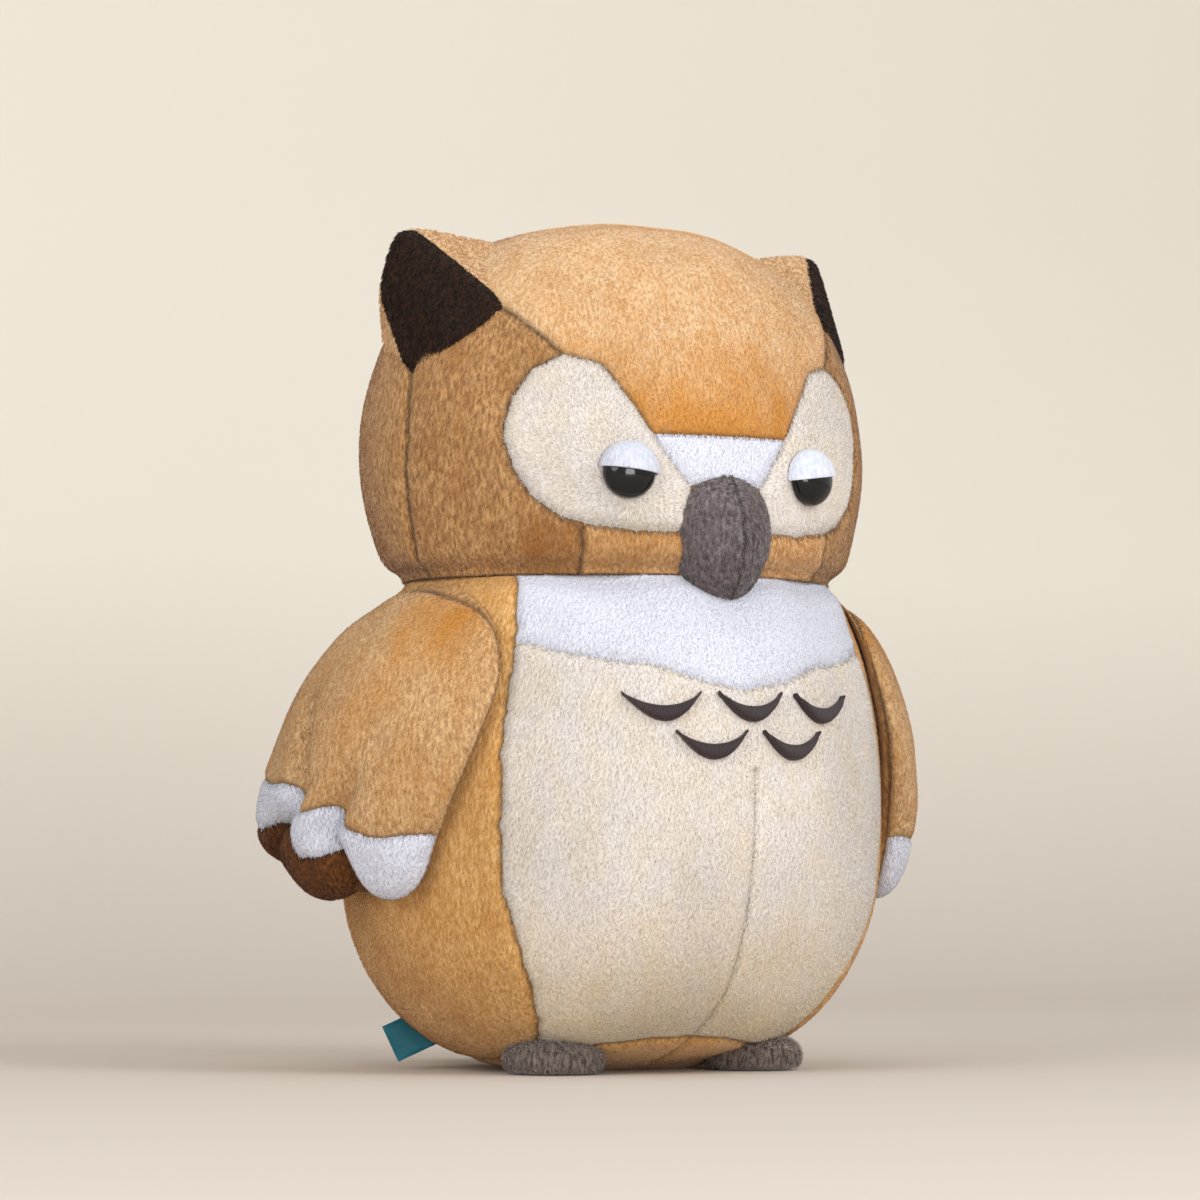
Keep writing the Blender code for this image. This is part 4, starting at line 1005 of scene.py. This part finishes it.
for number, (name, part) in enumerate(wing_parts.items()):
    kind = name.removesuffix("_right")
    finish, slot = wing_finish[kind]
    lining = kind == "wing_lining"
    for side, sign, mesh in wing_twins(kind, part):
        comb(mesh, down, shoulder if kind == "wing_cover" else None, 1.2 if kind == "wing_band" else 0.0)
        wrap_map(mesh, (sign * -0.10, 0.01, 0.13))
        skin = piled(f"{kind}_{side}_plush", mesh, finish, 0.4 if lining else 1.3,
                     length=clipped_pile if lining else plain_pile, seed=60 + 2 * number + sign)
        soft_piece(skin, f"{kind}_{side}", f"{side}_wing", slot)

wing_fill = wing_form(0.0052, 4)
points = points_of(wing_fill)
points[:, 2] = 0.190 - (0.190 - points[:, 2]) * 0.92
put_points(wing_fill, points)
draw_creases(wing_fill)
for side, sign, mesh in wing_twins("wing_fibre", wing_fill):
    mesh.shade_smooth()
    fill = placed(f"wing_fibre_{side}", mesh, fibre)
    soft_piece(fill, "wing_stuffing_" + side, side + "_wing", "fibre_fill")

# Tail: a flat tongue of brown plush with a seam round its rim. It is lightly stuffed and sewn along its root to
# the back, and is attached to a body of its own.

tail_shape = bmesh.new()
bmesh.ops.create_uvsphere(tail_shape, u_segments=48, v_segments=24, radius=1)
for vert in tail_shape.verts:
    seam = 1 - 0.06 * math.exp(-(vert.co.z / 0.16) ** 2)
    vert.co = (vert.co.x * 0.030 * seam, vert.co.y * 0.0335 * seam, vert.co.z * 0.0055)
droop = Matrix.Rotation(math.radians(-6), 3, "X")
bmesh.ops.rotate(tail_shape, cent=(0, 0, 0), matrix=droop, verts=tail_shape.verts)
tail_root, _ = seat_on(plain_surface, (0, 0.18, 0.030), (0, -1, 0))
bmesh.ops.translate(tail_shape, vec=tail_root, verts=tail_shape.verts)
for vert in tail_shape.verts:
    point, _ = seat_on(plain_surface, (vert.co.x, 0.18, vert.co.z), (0, -1, 0))
    vert.co.y = max(vert.co.y, point.y + 0.0016)
tail_mesh = mesh_from("tail", tail_shape)
comb(tail_mesh, lambda point: (0, 1, -0.2))
wrap_map(tail_mesh, (0, 0.118, 0.030))
tail = piled("tail_plush", tail_mesh, tip_plush, 0.95, length=0.0020, width=0.00026, seed=71)
soft_piece(tail, "tail", "tail_flap", "tip_plush")

# Label: a woven teal ribbon, folded double and sewn into the seam between the right side and the back. It is
# left blank.

ribbon, tree, surface = new_material("label_ribbon", {"Roughness": 0.5, "Sheen Weight": 0.3})
place = wired(tree, "ShaderNodeTexCoord", {}, "Object")
weave = wired(tree, "ShaderNodeTexWave", {"Vector": place, "Scale": 900}, "Fac")
feed(tree, surface, {"Base Color": joined(tree, "MIX", weave, linear("117083"), linear("1b889b"))})

root = Vector((-0.06971, 0.03864, 0.0155))
azimuth = math.radians(119)
outward, upward = Vector((-math.sin(azimuth), -math.cos(azimuth), 0)), Vector((0, 0, 1))
axes = Matrix((upward, outward, upward.cross(outward))).transposed().to_4x4()
label_frame = Matrix.Translation(root) @ axes @ Matrix.Rotation(math.radians(25), 4, "Z")
half_ribbon, folded_at, way_off = 0.008, 0.0118, 0.030
strip = bmesh.new()
starts = []
for k in range(9):
    ahead = label_frame @ Vector((half_ribbon * (k / 4 - 1), way_off, 0))
    inward = -(label_frame.to_3x3() @ Vector((0, 1, 0)))
    met = body_surface.ray_cast(ahead, inward)[3]
    starts.append(min(0.0035, max(-0.005, way_off + 0.0006 - met)) if met else -0.005)
fold = [(k / 12, 0.0, 1) for k in range(13)]
fold += [(1, 0.0006 * math.sin(math.pi * k / 8), math.cos(math.pi * k / 8)) for k in range(1, 8)]
fold += [(k / 12, 0.0, -1) for k in range(12, -1, -1)]
rows = []
for share, beyond, ply in fold:
    row = []
    for k, start in enumerate(starts):
        along = start + (folded_at - start) * share + beyond
        parted = 0.00045 + 0.0014 * (1 - k / 8) ** 2 * (1 - share)
        wave = 0.0010 * math.sin(along / 0.006) ** 2
        row.append(strip.verts.new((half_ribbon * (k / 4 - 1), along, ply * parted + wave)))
    rows.append(row)
for first, second in zip(rows, rows[1:]):
    for k in range(8):
        strip.faces.new((first[k], first[k + 1], second[k + 1], second[k]))
bmesh.ops.solidify(strip, geom=strip.faces[:], thickness=0.0002)
bmesh.ops.recalc_face_normals(strip, faces=strip.faces)
bmesh.ops.transform(strip, matrix=label_frame, verts=strip.verts)
label = placed("label_ribbon", mesh_from("label", strip), ribbon)
label.data.shade_smooth()
stand_in(label, "side_label", "label_flap", "label_ribbon")
